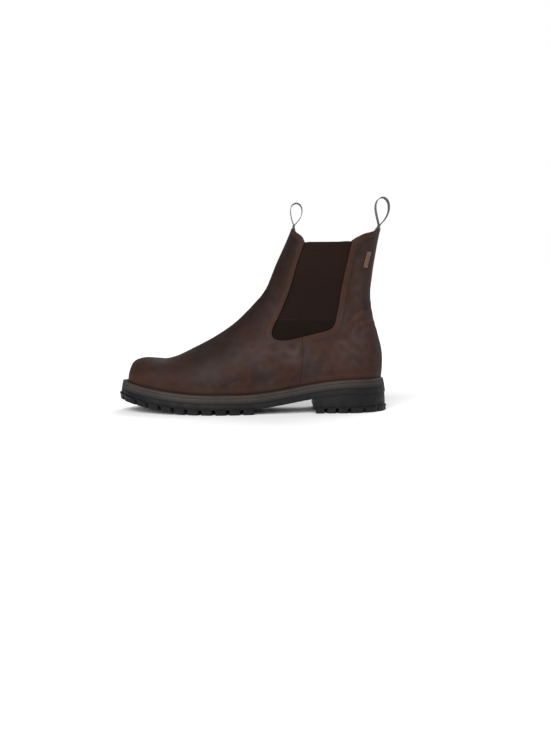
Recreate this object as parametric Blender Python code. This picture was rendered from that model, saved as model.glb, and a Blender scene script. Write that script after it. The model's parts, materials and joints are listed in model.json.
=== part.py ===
"""A left chelsea boot with a lugged sole, as separate named solids.

Frame: -X towards the toe, -Y towards the outer side of the foot, +Z up, in metres.
The origin is the centre of the whole boot's box, on the ground.

The boot is laid out in a drafting frame in millimetres: x and z as in a side view with the sole's middle
at x = 0 and the ground at z = 0, and y counted from the foot's own axis, heel centre to toe tip.
stand_on_origin() moves the finished boot to its frame.
"""

import math

import bmesh
import bpy
import numpy as np
from mathutils import Vector

MM = 0.001

# ---------------------------------------------------------------- driving dimensions, in millimetres
GAP = 0.3                # between pieces that touch
SOLE_LENGTH = 304.0
LUG_HEIGHT = 5.5
OUTSOLE_BASE = 6.2
MIDSOLE_THICK = 6.0
WELT_THICK = 3.0
FEATHER = LUG_HEIGHT + OUTSOLE_BASE + GAP + MIDSOLE_THICK + GAP + WELT_THICK   # top of the welt at the ball
TOE_SPRING = 14.5        # of the tip above the ground
HEEL_RISE = 15.7         # of the heel's seat above the ball
BALL_FRONT = -44.0       # x between which the sole is flat under the ball
BALL_BACK = -14.0
HEEL_LEVEL = 115.0       # x from which the heel's seat is level

LEATHER = 2.0
LINING = 1.0
STIFFENER = 1.0
GORE_THICK = 1.3
BOARD_THICK = 2.0
FOOTBED_THICK = 4.0
WEBBING = 1.2
LOOP_WIDTH = 20.0
LOOP_INWARD = 1.6        # from the leather's outer edge to the line that a loop folds about
LOOP_RISE = 1.5          # and up to it
LOOP_STEM = 1.2          # over which a loop's two legs lie together
FRONT_LOOP = (26.6, 14.3, 3.4)     # height, width and lean of the pull loops
BACK_LOOP = (33.2, 16.4, 3.0)
PEAK_Z = 207.0           # top of the leather at the front and the back
LASTING_MARGIN = 11.0    # how far the leather turns in under the foot
NAIL_RADIUS = 1.1
OUTER, INNER = -1, 1     # the sides of the foot, as signs of y

# Half widths of the tread, from the foot's axis, against the distance from the back of the heel.
TREAD_OUTER = [(9, 20), (22, 31), (40, 38), (64, 40), (84, 42), (115, 48), (150, 54.7), (186, 60),
               (212, 59.4), (236, 55.5), (262, 47), (280, 38), (295, 25.5)]
TREAD_INNER = [(9, 20), (22, 31), (40, 37.5), (64, 36.6), (84, 33.6), (100, 29.6), (120, 27.6), (140, 29),
               (165, 36.2), (186, 43.2), (212, 48.2), (236, 48.2), (262, 42.8), (280, 36), (295, 25)]

# Side view of the upper: the ridge from toe to collar, and the back line from heel to collar.
RIDGE = [(-143, 34), (-141.2, 45), (-136, 55.5), (-124, 60), (-110, 59.5), (-98, 59), (-88, 61.6), (-76, 67),
         (-49, 81), (-22, 98.8), (6, 126.5), (14, 137.5), (26, 165.5), (36, 188), (44, PEAK_Z)]
BACK = [(146.5, 37), (147.5, 52), (146.5, 70), (142, 88), (136.5, 108), (133.6, 130), (135.5, 155),
        (140, 183), (144.9, PEAK_Z)]
PLATEAU = (-124, 60)     # where the toe's front face has turned into its flat top
SHAFT_HEIGHTS, SHAFT_WIDTHS = (30, 90, 120, 150, 190, 215), (34, 33, 34, 36.5, 39, 40)   # half widths

# How the upper rounds over its ridge, at places along x: how far down the rounding reaches and its power.
RIDGE_PLACES, ROUND_REACH, ROUND_POWER = (-110, -60, -15, 30), (26, 42, 54, 47), (2.4, 2.0, 2.0, 2.0)

# Elastic panel, collar, side seam and tag, side view.
GORE_TOP_Z = 190.4
GORE_FRONT = [(23.5, 84), (21.2, 89.5), (22.9, 96), (28.8, 108), (35.5, 123.3), (42.4, 142), (48.3, 164),
              (57.3, GORE_TOP_Z)]
GORE_REAR = [(88.7, 95), (91.8, 100), (93.3, 106.5), (96.6, 123.3), (99.2, 140.5), (103.5, 160.6),
             (110.5, GORE_TOP_Z)]
GORE_BOTTOM_FRONT = [(23.5, 84), (28.8, 81.7), (38, 81.5), (55.5, 85)]
GORE_BOTTOM_REAR = [(55.5, 85), (72, 89), (82, 91.5), (88.7, 95)]
GORE_MARGIN = 6.0        # how far the elastic runs on under the leather
COLLAR_FRONT = [(44, PEAK_Z), (46, 204.2), (48.2, 201.6), (50.7, 199.6), (53.2, 197.6), (55.2, 195.2)]
COLLAR_REAR = [(115.1, 193.9), (120.4, 197.2), (125.6, 199.3), (130.8, 200.6), (136.5, 202.4),
               (140.1, 204.3), (144.9, PEAK_Z)]
SIDE_SEAM = [(53, 0), (56, 62), (55.5, 79)]
TAG = [(123.2, 162.6), (127.8, 161.6), (132.2, 179.3), (127.6, 179.9)]
TAG_THICK = 0.8

# How far in from the tread's edge each layer's side runs, at its foot and its top.
OUTSOLE_SIDE = (0.8, 1.6)
MIDSOLE_SIDE = (1.7, 2.6)
WELT_SIDE = (2.9, 3.6)

# Grid rows and columns that the stiffeners and the webbing's ends reach over, from the toe, heel or collar.
TOE_PUFF_ROWS, TOE_PUFF_COLUMNS = 5, 4
COUNTER_ROWS, COUNTER_COLUMNS = 5, 5
TAB_ROWS, TAB_COLUMNS = 2, 2

# Tread, by distance from the back of the heel and from the foot's axis.
HEEL_BREAST = 84.0
HEEL_CORNERS = (-42, 34)
FOREFOOT_START, FOREFOOT_CORNERS = (148, 160), (-55, 35)
OVAL_OUTER, OVAL_INNER = 28.0, 15.0              # half widths of the bare oval that the forefoot's lugs ring
FOREFOOT_STUDS = [(164, 10.5), (184, 15.4), (210, 15), (232, 10), (251, 2.6), (198, 1.5), (218, -2.6)]
HEEL_STUDS = [(53, 1), (75, 3.5)]
GROOVES = (2.0, 1.5)                             # half widths at the edge and at the inner ends
HEEL_GROOVES = (1.9, 1.2)
LUG_ROOT = 1.2                                   # how deep the lugs are let into the base
DIAMOND = ((0.50, 0.0), (0.60, 1.9), (0.70, 0.0))   # share of a groove's length, depth into the lug
PANEL_PLACE, PANEL_HALF, PANEL_TURN = (119, -9.5), (9.4, 17.8), -9.0
MARK_PLACE, MARK_RADIUS = (143.5, 11.5), 5.4     # a plain ring moulded beside the panel
LINE_WIDTH, LINE_DEPTH = 0.9, 0.7

CORK_END = -8.0                                  # x at which the cork under the ball ends
SHANK_ENDS, SHANK_HALF, SHANK_THICK = ((96, 0), (2, -4)), 7.0, 1.2

# Places along x at which each layer of the sole bends to the foot's lift.
LIFT_STATIONS = [-148, -138, -126, -112, -96, -78, -60, BALL_FRONT, BALL_BACK, 4, 20, 36, 52, 68, 84, 100,
                 HEEL_LEVEL]


# ---------------------------------------------------------------- curves and small functions
def smoothstep(t):
    t = np.clip(t, 0.0, 1.0)
    return t * t * (3 - 2 * t)


def spline(points, count, closed=False, before=None, after=None):
    """Evenly spaced points on a centripetal Catmull-Rom curve through the given ones.

    before and after are points of the neighbouring curves, which an open curve then runs on into smoothly."""
    p = np.array(points, float)
    if closed:
        p = np.vstack([p[-1], p, p[0], p[1]])
    else:
        first = 2 * p[0] - p[1] if before is None else before
        last = 2 * p[-1] - p[-2] if after is None else after
        p = np.vstack([first, p, last])
    dense = []
    for a, b, c, d in zip(p, p[1:], p[2:], p[3:]):
        t0 = 0.0
        t1 = t0 + math.sqrt(np.linalg.norm(b - a))
        t2 = t1 + math.sqrt(np.linalg.norm(c - b))
        t3 = t2 + math.sqrt(np.linalg.norm(d - c))
        t = np.linspace(t1, t2, 24, endpoint=False)[:, None]
        ab = (t1 - t) / (t1 - t0) * a + (t - t0) / (t1 - t0) * b
        bc = (t2 - t) / (t2 - t1) * b + (t - t1) / (t2 - t1) * c
        cd = (t3 - t) / (t3 - t2) * c + (t - t2) / (t3 - t2) * d
        abc = (t2 - t) / (t2 - t0) * ab + (t - t0) / (t2 - t0) * bc
        bcd = (t3 - t) / (t3 - t1) * bc + (t - t1) / (t3 - t1) * cd
        dense.append((t2 - t) / (t2 - t1) * abc + (t - t1) / (t2 - t1) * bcd)
    dense.append(p[-2][None, :])
    return resample(np.vstack(dense), np.linspace(0, 1, count + 1 if closed else count))[: count]


def resample(line, fractions):
    """Points at these fractions of a polyline's length."""
    steps = np.linalg.norm(np.diff(line, axis=0), axis=1)
    along = np.concatenate([[0], np.cumsum(steps)])
    where = np.asarray(fractions) * along[-1]
    return np.stack([np.interp(where, along, line[:, k]) for k in range(line.shape[1])], axis=1)


def rounding(t, power):
    """0 at t = 0, rising like the edge of a superellipse to 1 at t = 1 and beyond."""
    return (1 - (1 - np.clip(t, 0, 1)) ** power) ** (1 / power)


def lift(x):
    """How far the sole's layers stand above their place at the ball of the foot."""
    to_tip = np.clip((BALL_FRONT - x) / (BALL_FRONT + SOLE_LENGTH / 2), 0, 1.1)
    to_heel = (x - BALL_BACK) / (HEEL_LEVEL - BALL_BACK)
    return TOE_SPRING * to_tip ** 2 + HEEL_RISE * smoothstep(to_heel)


def feather_z(x):
    return FEATHER + lift(x)


# ---------------------------------------------------------------- outlines of the sole, seen from above
def station(distance):
    return SOLE_LENGTH / 2 - distance


def tread_outline(count):
    """The tread's edge, closed, from the back of the heel along the outer side (-y) to the toe and back."""
    points = [(station(0), 0)]
    points += [(station(u), -w) for u, w in TREAD_OUTER]
    points += [(station(SOLE_LENGTH), 0)]
    points += [(station(u), w) for u, w in reversed(TREAD_INNER)]
    return spline(points, count, closed=True)


def inset(outline, distance):
    """The outline moved inwards. distance is a number or a function of x."""
    tangent = np.roll(outline, -1, axis=0) - np.roll(outline, 1, axis=0)
    tangent /= np.linalg.norm(tangent, axis=1)[:, None]
    inward = np.stack([tangent[:, 1], -tangent[:, 0]], axis=1)
    amount = distance(outline[:, 0]) if callable(distance) else np.full(len(outline), distance)
    return outline + inward * amount[:, None]


def upper_inset(x):
    """From the tread's edge in to where the leather meets the welt."""
    return 8.0 - 2.5 * smoothstep((x - 60) / 60)


def half_width_table(side):
    """x against the leather's half width at the welt, on one side."""
    ring = inset(tread_outline(1600), upper_inset)
    part = ring[ring[:, 1] * side >= 0]
    part = part[np.argsort(part[:, 0])]
    x = np.concatenate([[RIDGE[0][0]], part[:, 0], [BACK[0][0]]])
    w = np.concatenate([[0], np.abs(part[:, 1]), [0]])
    return x, w


# ---------------------------------------------------------------- the upper's outer surface
RIDGE_LINE = spline(RIDGE, 500)
BACK_LINE = spline(BACK, 300)
TOE_TURN = int(np.argmin(np.abs(RIDGE_LINE[:, 0] - PLATEAU[0])))
TOP_LINE = np.vstack([[(-165, PLATEAU[1])], RIDGE_LINE[TOE_TURN:], [RIDGE_LINE[-1] + (15, 33)]])
HALF_WIDTHS = {side: half_width_table(side) for side in (OUTER, INNER)}


def distance_to(line, x, z):
    """Distance from each point to a polyline, and x of the nearest place on it."""
    a, b = line[:-1], line[1:]
    d = b - a
    p = np.stack([x, z], axis=-1)[..., None, :]
    t = np.clip(((p - a) * d).sum(-1) / (d * d).sum(-1), 0, 1)
    foot = a + t[..., None] * d
    far = np.linalg.norm(p - foot, axis=-1)
    best = far.argmin(-1)[..., None]
    return np.take_along_axis(far, best, -1)[..., 0], np.take_along_axis(foot[..., 0], best, -1)[..., 0]


def half_width(side, x, z):
    """The upper's half width from the foot's axis at a place in the side view."""
    back_x = np.interp(z, BACK_LINE[:, 1], BACK_LINE[:, 0])
    front_lean = np.interp(z, RIDGE_LINE[:TOE_TURN, 1], RIDGE_LINE[:TOE_TURN, 0]) - RIDGE[0][0]
    back_lean = back_x - BACK[0][0]
    upright = x - front_lean * (1 - smoothstep((x + 122) / 42)) - back_lean * smoothstep((x - 60) / 60)
    foot = np.interp(upright, *HALF_WIDTHS[side])
    above = np.clip((z - feather_z(x)) / 32, 0, 1)
    foot = foot * (1 + 0.05 * np.sin(math.pi * above))
    shaft = np.interp(z, SHAFT_HEIGHTS, SHAFT_WIDTHS) * rounding((back_x - x) / 44, 2.0)
    body = foot + (shaft - foot) * smoothstep((z - 52) / 60)
    below, at = distance_to(TOP_LINE, x, z)
    reach = np.interp(at, RIDGE_PLACES, ROUND_REACH)
    power = np.interp(at, RIDGE_PLACES, ROUND_POWER)
    return body * rounding(below / reach, power)


def coons(bottom, top, left, right, us, vs, by_index=False):
    """Side-view points of a four-sided patch: bottom and top run along u, left and right along v.

    by_index follows left by its own spacing of points instead of by length."""
    u, v = np.meshgrid(us, vs)
    u, v = u[..., None], v[..., None]
    b, t, r = resample(bottom, us)[None], resample(top, us)[None], resample(right, vs)[:, None]
    if by_index:
        places = vs * (len(left) - 1)
        by_place = [np.interp(places, np.arange(len(left)), left[:, k]) for k in range(2)]
        le = np.stack(by_place, axis=1)[:, None]
    else:
        le = resample(left, vs)[:, None]
    corners = ((1 - u) * (1 - v) * bottom[0] + u * (1 - v) * bottom[-1]
               + (1 - u) * v * top[0] + u * v * top[-1])
    return (1 - v) * b + v * t + (1 - u) * le + u * r - corners


class Grid:
    """Pattern grid of the upper. Columns run round the boot, rows from the welt to the collar.

    The columns' blocks are, on each side: ridge to gore, gore margin, gore front half, gore rear half,
    gore margin, gore to back. The rows' blocks are: welt to gore, gore margin, gore to collar.
    """

    COLUMNS = (6, 1, 2, 2, 1, 5)
    ROWS = (7, 1, 5)

    def __init__(self):
        self.lines()
        side_view = self.side_view()
        outer = self.side(side_view, OUTER)
        inner = self.side(side_view, INNER)
        self.half = outer.shape[1] - 1
        self.points = np.concatenate([outer, inner[:, -2:0:-1]], axis=1)
        self.count = self.points.shape[1]
        self.normals = self.find_normals()
        self.stops = np.cumsum((0,) + self.COLUMNS)
        self.levels = np.cumsum((0,) + self.ROWS)

    def lines(self):
        """The pattern's lines in the side view, as polylines between their crossings."""
        feather_x = [RIDGE[0][0], -14, -7, 53, 96, 103, BACK[0][0]]
        gore_front = spline(GORE_FRONT, 60, before=GORE_BOTTOM_FRONT[1])
        gore_rear = spline(GORE_REAR, 60, before=GORE_BOTTOM_REAR[-2])
        margin_front, margin_rear = gore_front + (-GORE_MARGIN, -1.0), gore_rear + (GORE_MARGIN, -1.0)
        margin_front[-1], margin_rear[-1] = COLLAR_FRONT[-1], COLLAR_REAR[0]
        drop = np.array((0, -GORE_MARGIN))
        ridge_cut = [int(np.argmin(np.abs(RIDGE_LINE[:, 0] - x))) for x in (-18, -10)]
        back_cut = [int(np.argmin(np.abs(BACK_LINE[:, 1] - z))) for z in (98, 106)]
        crossings = [margin_front[0], gore_front[0], np.array(GORE_BOTTOM_REAR[0]), gore_rear[0],
                     margin_rear[0]]
        level = [[RIDGE_LINE[ridge_cut[k]], *(p + shift for p in crossings), BACK_LINE[back_cut[k]]]
                 for k, shift in enumerate((drop, 0 * drop))]
        feather = [np.array((x, feather_z(x))) for x in feather_x]
        welt = [np.linspace(a, b, 40) for a, b in zip(feather_x, feather_x[1:])]
        bottoms = {2: spline(GORE_BOTTOM_FRONT, 30, before=GORE_FRONT[1], after=GORE_BOTTOM_REAR[1]),
                   3: spline(GORE_BOTTOM_REAR, 30, before=GORE_BOTTOM_FRONT[-2], after=GORE_REAR[1])}
        self.across = [[np.stack([xs, feather_z(xs)], axis=1) for xs in welt]]
        for places, shift in zip(level, (drop, 0 * drop)):
            self.across.append([bottoms[k] + shift if k in bottoms else np.array(places[k: k + 2])
                                for k in range(6)])
        middle = np.array(((GORE_FRONT[-1][0] + GORE_REAR[-1][0]) / 2, GORE_TOP_Z))
        corners = [COLLAR_FRONT[-1], GORE_FRONT[-1], middle, GORE_REAR[-1], COLLAR_REAR[0]]
        tops = [np.array([a, b], float) for a, b in zip(corners, corners[1:])]
        self.across.append([spline(COLLAR_FRONT, 30), *tops, spline(COLLAR_REAR, 30)])
        seam = spline([(SIDE_SEAM[0][0], feather[3][1])] + SIDE_SEAM[1:], 30)
        lower = {0: RIDGE_LINE[: ridge_cut[0] + 1], 3: seam, 6: BACK_LINE[: back_cut[0] + 1]}
        between = {0: RIDGE_LINE[ridge_cut[0]: ridge_cut[1] + 1],
                   6: BACK_LINE[back_cut[0]: back_cut[1] + 1]}
        self.up = [[lower.get(k, np.array([feather[k], level[0][k]])) for k in range(7)],
                   [between.get(k, np.array([level[0][k], level[1][k]])) for k in range(7)],
                   [RIDGE_LINE[ridge_cut[1]:], margin_front, gore_front,
                    np.array([GORE_BOTTOM_REAR[0], middle]), gore_rear, margin_rear, BACK_LINE[back_cut[1]:]]]

    def side_view(self):
        """Side-view places of one side's grid points.

        Columns crowd towards the ridge and the back line, where the surface turns away. Rows crowd towards
        the toe."""
        rows = []
        for r, many in enumerate(self.ROWS):
            vs = np.linspace(0, 1, many + 1)
            strip = []
            for c, wide in enumerate(self.COLUMNS):
                us = np.linspace(0, 1, wide + 1)
                if c == 0:
                    us = 1 - np.cos(us * math.pi / 2)
                if c == len(self.COLUMNS) - 1:
                    us = np.sin(us * math.pi / 2)
                left, at_toe = self.up[r][c], r == 0 and c == 0
                if at_toe:
                    left = resample(left, np.linspace(0, 1, 200) ** 1.5)
                patch = coons(self.across[r][c], self.across[r + 1][c], left, self.up[r][c + 1],
                              us, vs, at_toe)
                strip.append(patch if c == 0 else patch[:, 1:])
            rows.append(np.concatenate(strip, axis=1)[0 if r == 0 else 1:])
        return np.concatenate(rows, axis=0)

    def side(self, places, side):
        x, z = places[..., 0], places[..., 1]
        w = half_width(side, x, z)
        w[:, 0] = w[:, -1] = 0
        return np.stack([x, side * w, z], axis=-1)

    def find_normals(self):
        along = np.roll(self.points, -1, axis=1) - np.roll(self.points, 1, axis=1)
        n = np.cross(along, np.gradient(self.points, axis=0))
        n[0, :, 2] = 0
        return n / np.linalg.norm(n, axis=-1, keepdims=True)

    def columns(self, first, last, mirrored=False):
        """Grid columns from one block line to another on the outer side, or their twins on the inner side."""
        a, b = self.stops[first], self.stops[last]
        return [(self.count - c) % self.count if mirrored else c for c in range(a, b + 1)]


GRID = Grid()


# ---------------------------------------------------------------- making objects
def material(name, colour, roughness, metallic):
    made = bpy.data.materials.get(name) or bpy.data.materials.new(name)
    made.use_nodes = True
    shader = made.node_tree.nodes["Principled BSDF"]
    shader.inputs["Base Color"].default_value = (*colour, 1.0)
    shader.inputs["Roughness"].default_value = roughness
    shader.inputs["Metallic"].default_value = metallic
    return made


MATERIALS = {
    "brown_leather": ((0.062, 0.034, 0.026), 0.55),
    "lining_leather": ((0.33, 0.2, 0.11), 0.7),
    "brown_elastic": ((0.022, 0.012, 0.010), 0.85),
    "black_webbing": ((0.012, 0.012, 0.013), 0.8),
    "black_rubber": ((0.021, 0.020, 0.020), 0.6),
    "grey_rubber": ((0.058, 0.052, 0.047), 0.65),
    "insole_board": ((0.35, 0.25, 0.16), 0.9),
    "cork": ((0.40, 0.25, 0.13), 0.95),
    "stiffener": ((0.5, 0.47, 0.4), 0.8),
    "footbed_cover": ((0.25, 0.15, 0.09), 0.8),
    "tan_tag": ((0.22, 0.14, 0.075), 0.6),
    "steel": ((0.5, 0.5, 0.52), 0.4),
}
METALS = ("steel",)


def finish(name, mesh, slot):
    colour, roughness = MATERIALS[slot]
    mesh.materials.append(material(slot, colour, roughness, 1.0 if slot in METALS else 0.0))
    made = bpy.data.objects.new(name, mesh)
    bpy.context.scene.collection.objects.link(made)
    return made


def from_mesh_data(name, vertices, faces, slot):
    mesh = bpy.data.meshes.new(name)
    mesh.from_pydata([tuple(c * MM for c in v) for v in vertices], [], faces)
    mesh.validate()
    work = bmesh.new()
    work.from_mesh(mesh)
    bmesh.ops.recalc_face_normals(work, faces=work.faces)
    work.to_mesh(mesh)
    work.free()
    return finish(name, mesh, slot)


def split(cell):
    """Two triangles of a four-sided cell, along the diagonal that bulges outwards in the pattern grid.

    Every layer splits alike, so that layers stay parallel."""
    a, b, c, d = cell
    if min(row for row, _ in cell) < 0 or not all(isinstance(column, int) for _, column in cell):
        return [[a, b, c], [a, c, d]]
    bulge = GRID.points[a] + GRID.points[c] - GRID.points[b] - GRID.points[d]
    if np.dot(bulge, GRID.normals[a] + GRID.normals[c]) >= 0:
        return [[a, b, c], [a, c, d]]
    return [[b, c, d], [b, d, a]]


def shell(name, layers, cells, slot):
    """A closed sheet between two surfaces, given as {(row, column): point}, over cells of four such keys."""
    outside, inside = layers
    index = {}
    for cell in cells:
        for key in cell:
            index.setdefault(key, len(index))
    vertices = [outside[k] for k in index] + [inside[k] for k in index]
    shift = len(index)
    faces = []
    edges = {}
    for cell in cells:
        for triangle in split(cell):
            faces.append([index[k] for k in triangle])
            faces.append([index[k] + shift for k in reversed(triangle)])
        for a, b in zip(cell, cell[1:] + cell[:1]):
            edges[(a, b)] = True
    for a, b in edges:
        if (b, a) not in edges:
            faces.append([index[b], index[a], index[a] + shift, index[b] + shift])
    return from_mesh_data(name, vertices, faces, slot)


def grid_piece(name, spans, slot, outer, inner, trim=GAP / 2, under=None):
    """A piece of the upper over spans of (columns, first row, last row), between two depths.

    outer and inner are numbers or {(row, column): depth} functions. Edges that meet a neighbour are
    trimmed back. under adds the lasting margin that turns in under the foot."""
    cells = []
    for columns, low, high in spans:
        for r in range(low, high):
            for a, b in zip(columns, columns[1:]):
                cells.append([(r, a), (r, b), (r + 1, b), (r + 1, a)])
    flip = spans[0][0][1] != (spans[0][0][0] + 1) % GRID.count
    if flip:
        cells = [cell[::-1] for cell in cells]
    used = {k for cell in cells for k in cell}
    place = {k: trimmed(k, used, trim) for k in used}
    depth = (lambda f, k: f(k) if callable(f) else f)
    layers = [{k: place[k] - GRID.normals[k] * depth(d, k) for k in used} for d in (outer, inner)]
    if under is not None:
        add_margin(cells, layers, place, under, flip)
    return shell(name, layers, cells, slot)


def trimmed(key, used, trim):
    """The grid point, moved into the piece where the piece ends at it, except along the welt."""
    row, column = key
    here = GRID.points[key]
    moved = here.copy()
    for down, across in ((0, 1), (0, -1), (1, 0), (-1, 0)):
        beyond = (row + down, (column + across) % GRID.count)
        back = (row - down, (column - across) % GRID.count)
        if beyond not in used and back in used and row + down >= 0:
            way = GRID.points[back] - here
            moved = moved + way / np.linalg.norm(way) * trim
    return moved


def add_margin(cells, layers, place, under, flip):
    """Carries the piece down inside the welt and in under the foot. under is (thickness, how far in)."""
    thick, reach = under
    outside, inside = layers
    pairs = {(a, b) for cell in cells for (ra, a), (rb, b) in zip(cell, cell[1:] + cell[:1]) if ra == rb == 0}
    for c in {c for r, c in place if r == 0}:
        here, normal = place[(0, c)], GRID.normals[(0, c)]
        inner, end = here - normal * thick, here - normal * reach
        floor = feather_z(here[0]) - WELT_THICK + GAP
        level = feather_z(end[0]) - WELT_THICK + GAP
        outside[(-1, c)] = np.array([here[0], here[1], floor])
        inside[(-1, c)] = np.array([inner[0], inner[1], floor + thick])
        outside[(-2, c)] = np.array([end[0], end[1], level])
        inside[(-2, c)] = np.array([end[0], end[1], level + thick])
        inside[(0, c)] = np.array([inner[0], inner[1], max(inside[(0, c)][2], floor + thick + 0.5)])
    for a, b in pairs:
        if flip:
            a, b = b, a
        for r in (0, -1):
            cell = [(r - 1, a), (r - 1, b), (r, b), (r, a)]
            if flip:
                cell = [(r - 1, b), (r - 1, a), (r, a), (r, b)]
            cells.append(cell)


def ring_mesh(loops, name, slot, capped=True):
    """A solid through rings of equally many points, each ring joined to the next, with flat ends."""
    many = len(loops[0])
    vertices = [p for loop in loops for p in loop]
    faces = []
    for k in range(len(loops) - 1 if capped else len(loops)):
        a, b = k * many, ((k + 1) % len(loops)) * many
        for i in range(many):
            j = (i + 1) % many
            faces.append([a + i, a + j, b + j, b + i])
    if capped:
        faces.append(list(range(many))[::-1])
        faces.append([(len(loops) - 1) * many + i for i in range(many)])
    return from_mesh_data(name, vertices, faces, slot)


def level_ring(outline, z):
    return [(x, y, z) for x, y in outline]


def slice_and_lift(made, rise):
    """Cuts a flat-built piece across at the lift stations and raises its points by rise(x, z), in mm."""
    work = bmesh.new()
    work.from_mesh(made.data)
    for x in LIFT_STATIONS:
        geometry = work.verts[:] + work.edges[:] + work.faces[:]
        bmesh.ops.bisect_plane(work, geom=geometry, dist=0.0002, plane_co=(x * MM, 0, 0), plane_no=(1, 0, 0))
    marks = np.array([-SOLE_LENGTH, *LIFT_STATIONS, SOLE_LENGTH])
    for v in work.verts:
        x, z = v.co.x / MM, v.co.z / MM
        k = int(np.clip(np.searchsorted(marks, x), 1, len(marks) - 1))
        a, b = marks[k - 1], marks[k]
        t = (x - a) / (b - a)
        v.co.z += MM * ((1 - t) * rise(a, z) + t * rise(b, z))
    work.to_mesh(made.data)
    work.free()


def sole_rise(x, _):
    return float(lift(np.clip(x, -SOLE_LENGTH / 2, SOLE_LENGTH / 2)))


def plate(name, rings, slot):
    """A full-length layer of the sole from rings of (outline, z at the ball), shaped to the foot."""
    made = ring_mesh([level_ring(outline, z) for outline, z in rings], name, slot)
    slice_and_lift(made, sole_rise)
    return made


def apply_boolean(target, tool, operation):
    modifier = target.modifiers.new(operation.lower(), "BOOLEAN")
    modifier.object = tool
    modifier.operation = operation
    modifier.solver = "EXACT"
    modifier.use_self = operation == "UNION"
    graph = bpy.context.evaluated_depsgraph_get()
    mesh = bpy.data.meshes.new_from_object(target.evaluated_get(graph))
    target.modifiers.clear()
    old = target.data
    target.data = mesh
    bpy.data.meshes.remove(old)
    bpy.data.objects.remove(tool)


def prisms(name, outlines, low, high):
    """One helper object of upright prisms, one for each outline."""
    vertices, faces = [], []
    for outline in outlines:
        many, first = len(outline), len(vertices)
        vertices += [(x, y, low) for x, y in outline] + [(x, y, high) for x, y in outline]
        faces += [[first + i for i in range(many)][::-1], [first + many + i for i in range(many)]]
        for i in range(many):
            j = (i + 1) % many
            faces.append([first + i, first + j, first + many + j, first + many + i])
    return from_mesh_data(name, vertices, faces, "black_rubber")


def turned(points, centre, angle):
    """Points turned about the origin by an angle in radians and set down at a centre."""
    c, s = math.cos(angle), math.sin(angle)
    return [(centre[0] + x * c - y * s, centre[1] + x * s + y * c) for x, y in points]


def groove_frame(outside, inside, depth):
    """A cutter that leaves a groove of this depth in the outsole's base, between two outlines."""
    low, high = LUG_HEIGHT - 1.5, LUG_HEIGHT + depth
    rings = [level_ring(outside, low), level_ring(outside, high),
             level_ring(inside, high), level_ring(inside, low)]
    return ring_mesh(rings, "groove_cutter", "black_rubber", capped=False)


# ---------------------------------------------------------------- tread
def path_between(outline, start, end):
    """The outline's points from the one nearest start, through the toe or heel, to the one nearest end."""
    a = int(np.argmin(np.linalg.norm(outline - start, axis=1)))
    b = int(np.argmin(np.linalg.norm(outline - end, axis=1)))
    return outline[a: b + 1] if a <= b else np.vstack([outline[a:], outline[: b + 1]])


def lug(outer, inner, s0, s1, t0, t1, grooves):
    """One lug between two grooves: its edge on the outer path from s0 to s1, its end on the inner path
    from t0 to t1, and a notch in each flank where the grooves open into a diamond."""
    groove_out, groove_in = grooves
    edge = resample(outer, np.linspace(s0, s1, 4))
    end = resample(inner, [t0, t1])
    span = (edge[-1] - edge[0]) / np.linalg.norm(edge[-1] - edge[0])
    across = (end[1] - end[0]) / max(np.linalg.norm(end[1] - end[0]), 0.1)
    edge[0] += span * groove_out
    edge[-1] -= span * groove_out
    end[0] += across * groove_in
    end[1] -= across * groove_in
    left, right = [], []
    for share, bite in DIAMOND:
        left.append(edge[0] + (end[0] - edge[0]) * share + span * bite)
        right.append(edge[-1] + (end[1] - edge[-1]) * share - span * bite)
    return [*edge, *right, end[1], end[0], *reversed(left)]


def shares(widths):
    """Where the lugs begin and end, as fractions of the path's length."""
    return np.concatenate([[0], np.cumsum(widths)]) / sum(widths)


def lugs_along(outer, inner, outer_widths, inner_widths, grooves):
    s, t = shares(outer_widths), shares(inner_widths)
    return [lug(outer, inner, s[k], s[k + 1], t[k], t[k + 1], grooves) for k in range(len(outer_widths))]


def cross_stud(x, y, reach=8.0, arm=2.9):
    """A four-armed stud with pointed arms."""
    corner = [(arm, arm), (reach - arm, arm), (reach, 0), (reach - arm, -arm)]
    points = []
    for quarter in range(4):
        points += turned(corner, (x, y), -quarter * math.pi / 2)
    return points


def forefoot_lugs():
    edge = tread_outline(720)
    start, end = (station(u) for u in FOREFOOT_START)
    outer = path_between(edge, (start, FOREFOOT_CORNERS[0]), (end, FOREFOOT_CORNERS[1]))
    oval = [(155, 3 - OVAL_OUTER), (185, -OVAL_OUTER), (215, 1.5 - OVAL_OUTER), (240, 8 - OVAL_OUTER),
            (256, -9), (260.5, 0), (255, 8), (238, OVAL_INNER - 1), (212, OVAL_INNER + 1),
            (185, OVAL_INNER - 1), (166, OVAL_INNER - 4)]
    inner = spline([(station(u), y) for u, y in oval], 200)
    outer_widths = [1.0] * 9 + [1.45] * 4 + [1.0] * 8
    inner_widths = [1.0] * 9 + [0.72] * 4 + [1.0] * 8
    return lugs_along(outer, inner, outer_widths, inner_widths, GROOVES)


def heel_paths():
    """The heel lugs' outer and inner paths, and the widths that the grooves share them out in."""
    edge = tread_outline(720)
    outer_corner, inner_corner = HEEL_CORNERS
    start = station(HEEL_BREAST - 1)
    outer = path_between(edge, (start, inner_corner), (start, outer_corner))
    horseshoe = [(HEEL_BREAST - 2, 8), (60, 10), (43, 8.5), (35, 0),
                 (43, -10), (60, -16), (HEEL_BREAST - 2, -17)]
    inner = spline([(station(u), y) for u, y in horseshoe], 120)
    outer_widths = [0.85, 0.85, 0.9, 0.9, 1.35, 1.2, 1.1, 1.1, 1.3, 1.2, 0.9, 0.85, 0.85]
    inner_widths = [1, 1, 1, 0.9, 0.7, 0.6, 0.6, 0.6, 0.7, 0.9, 1, 1, 1]
    return outer, inner, outer_widths, inner_widths


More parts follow.
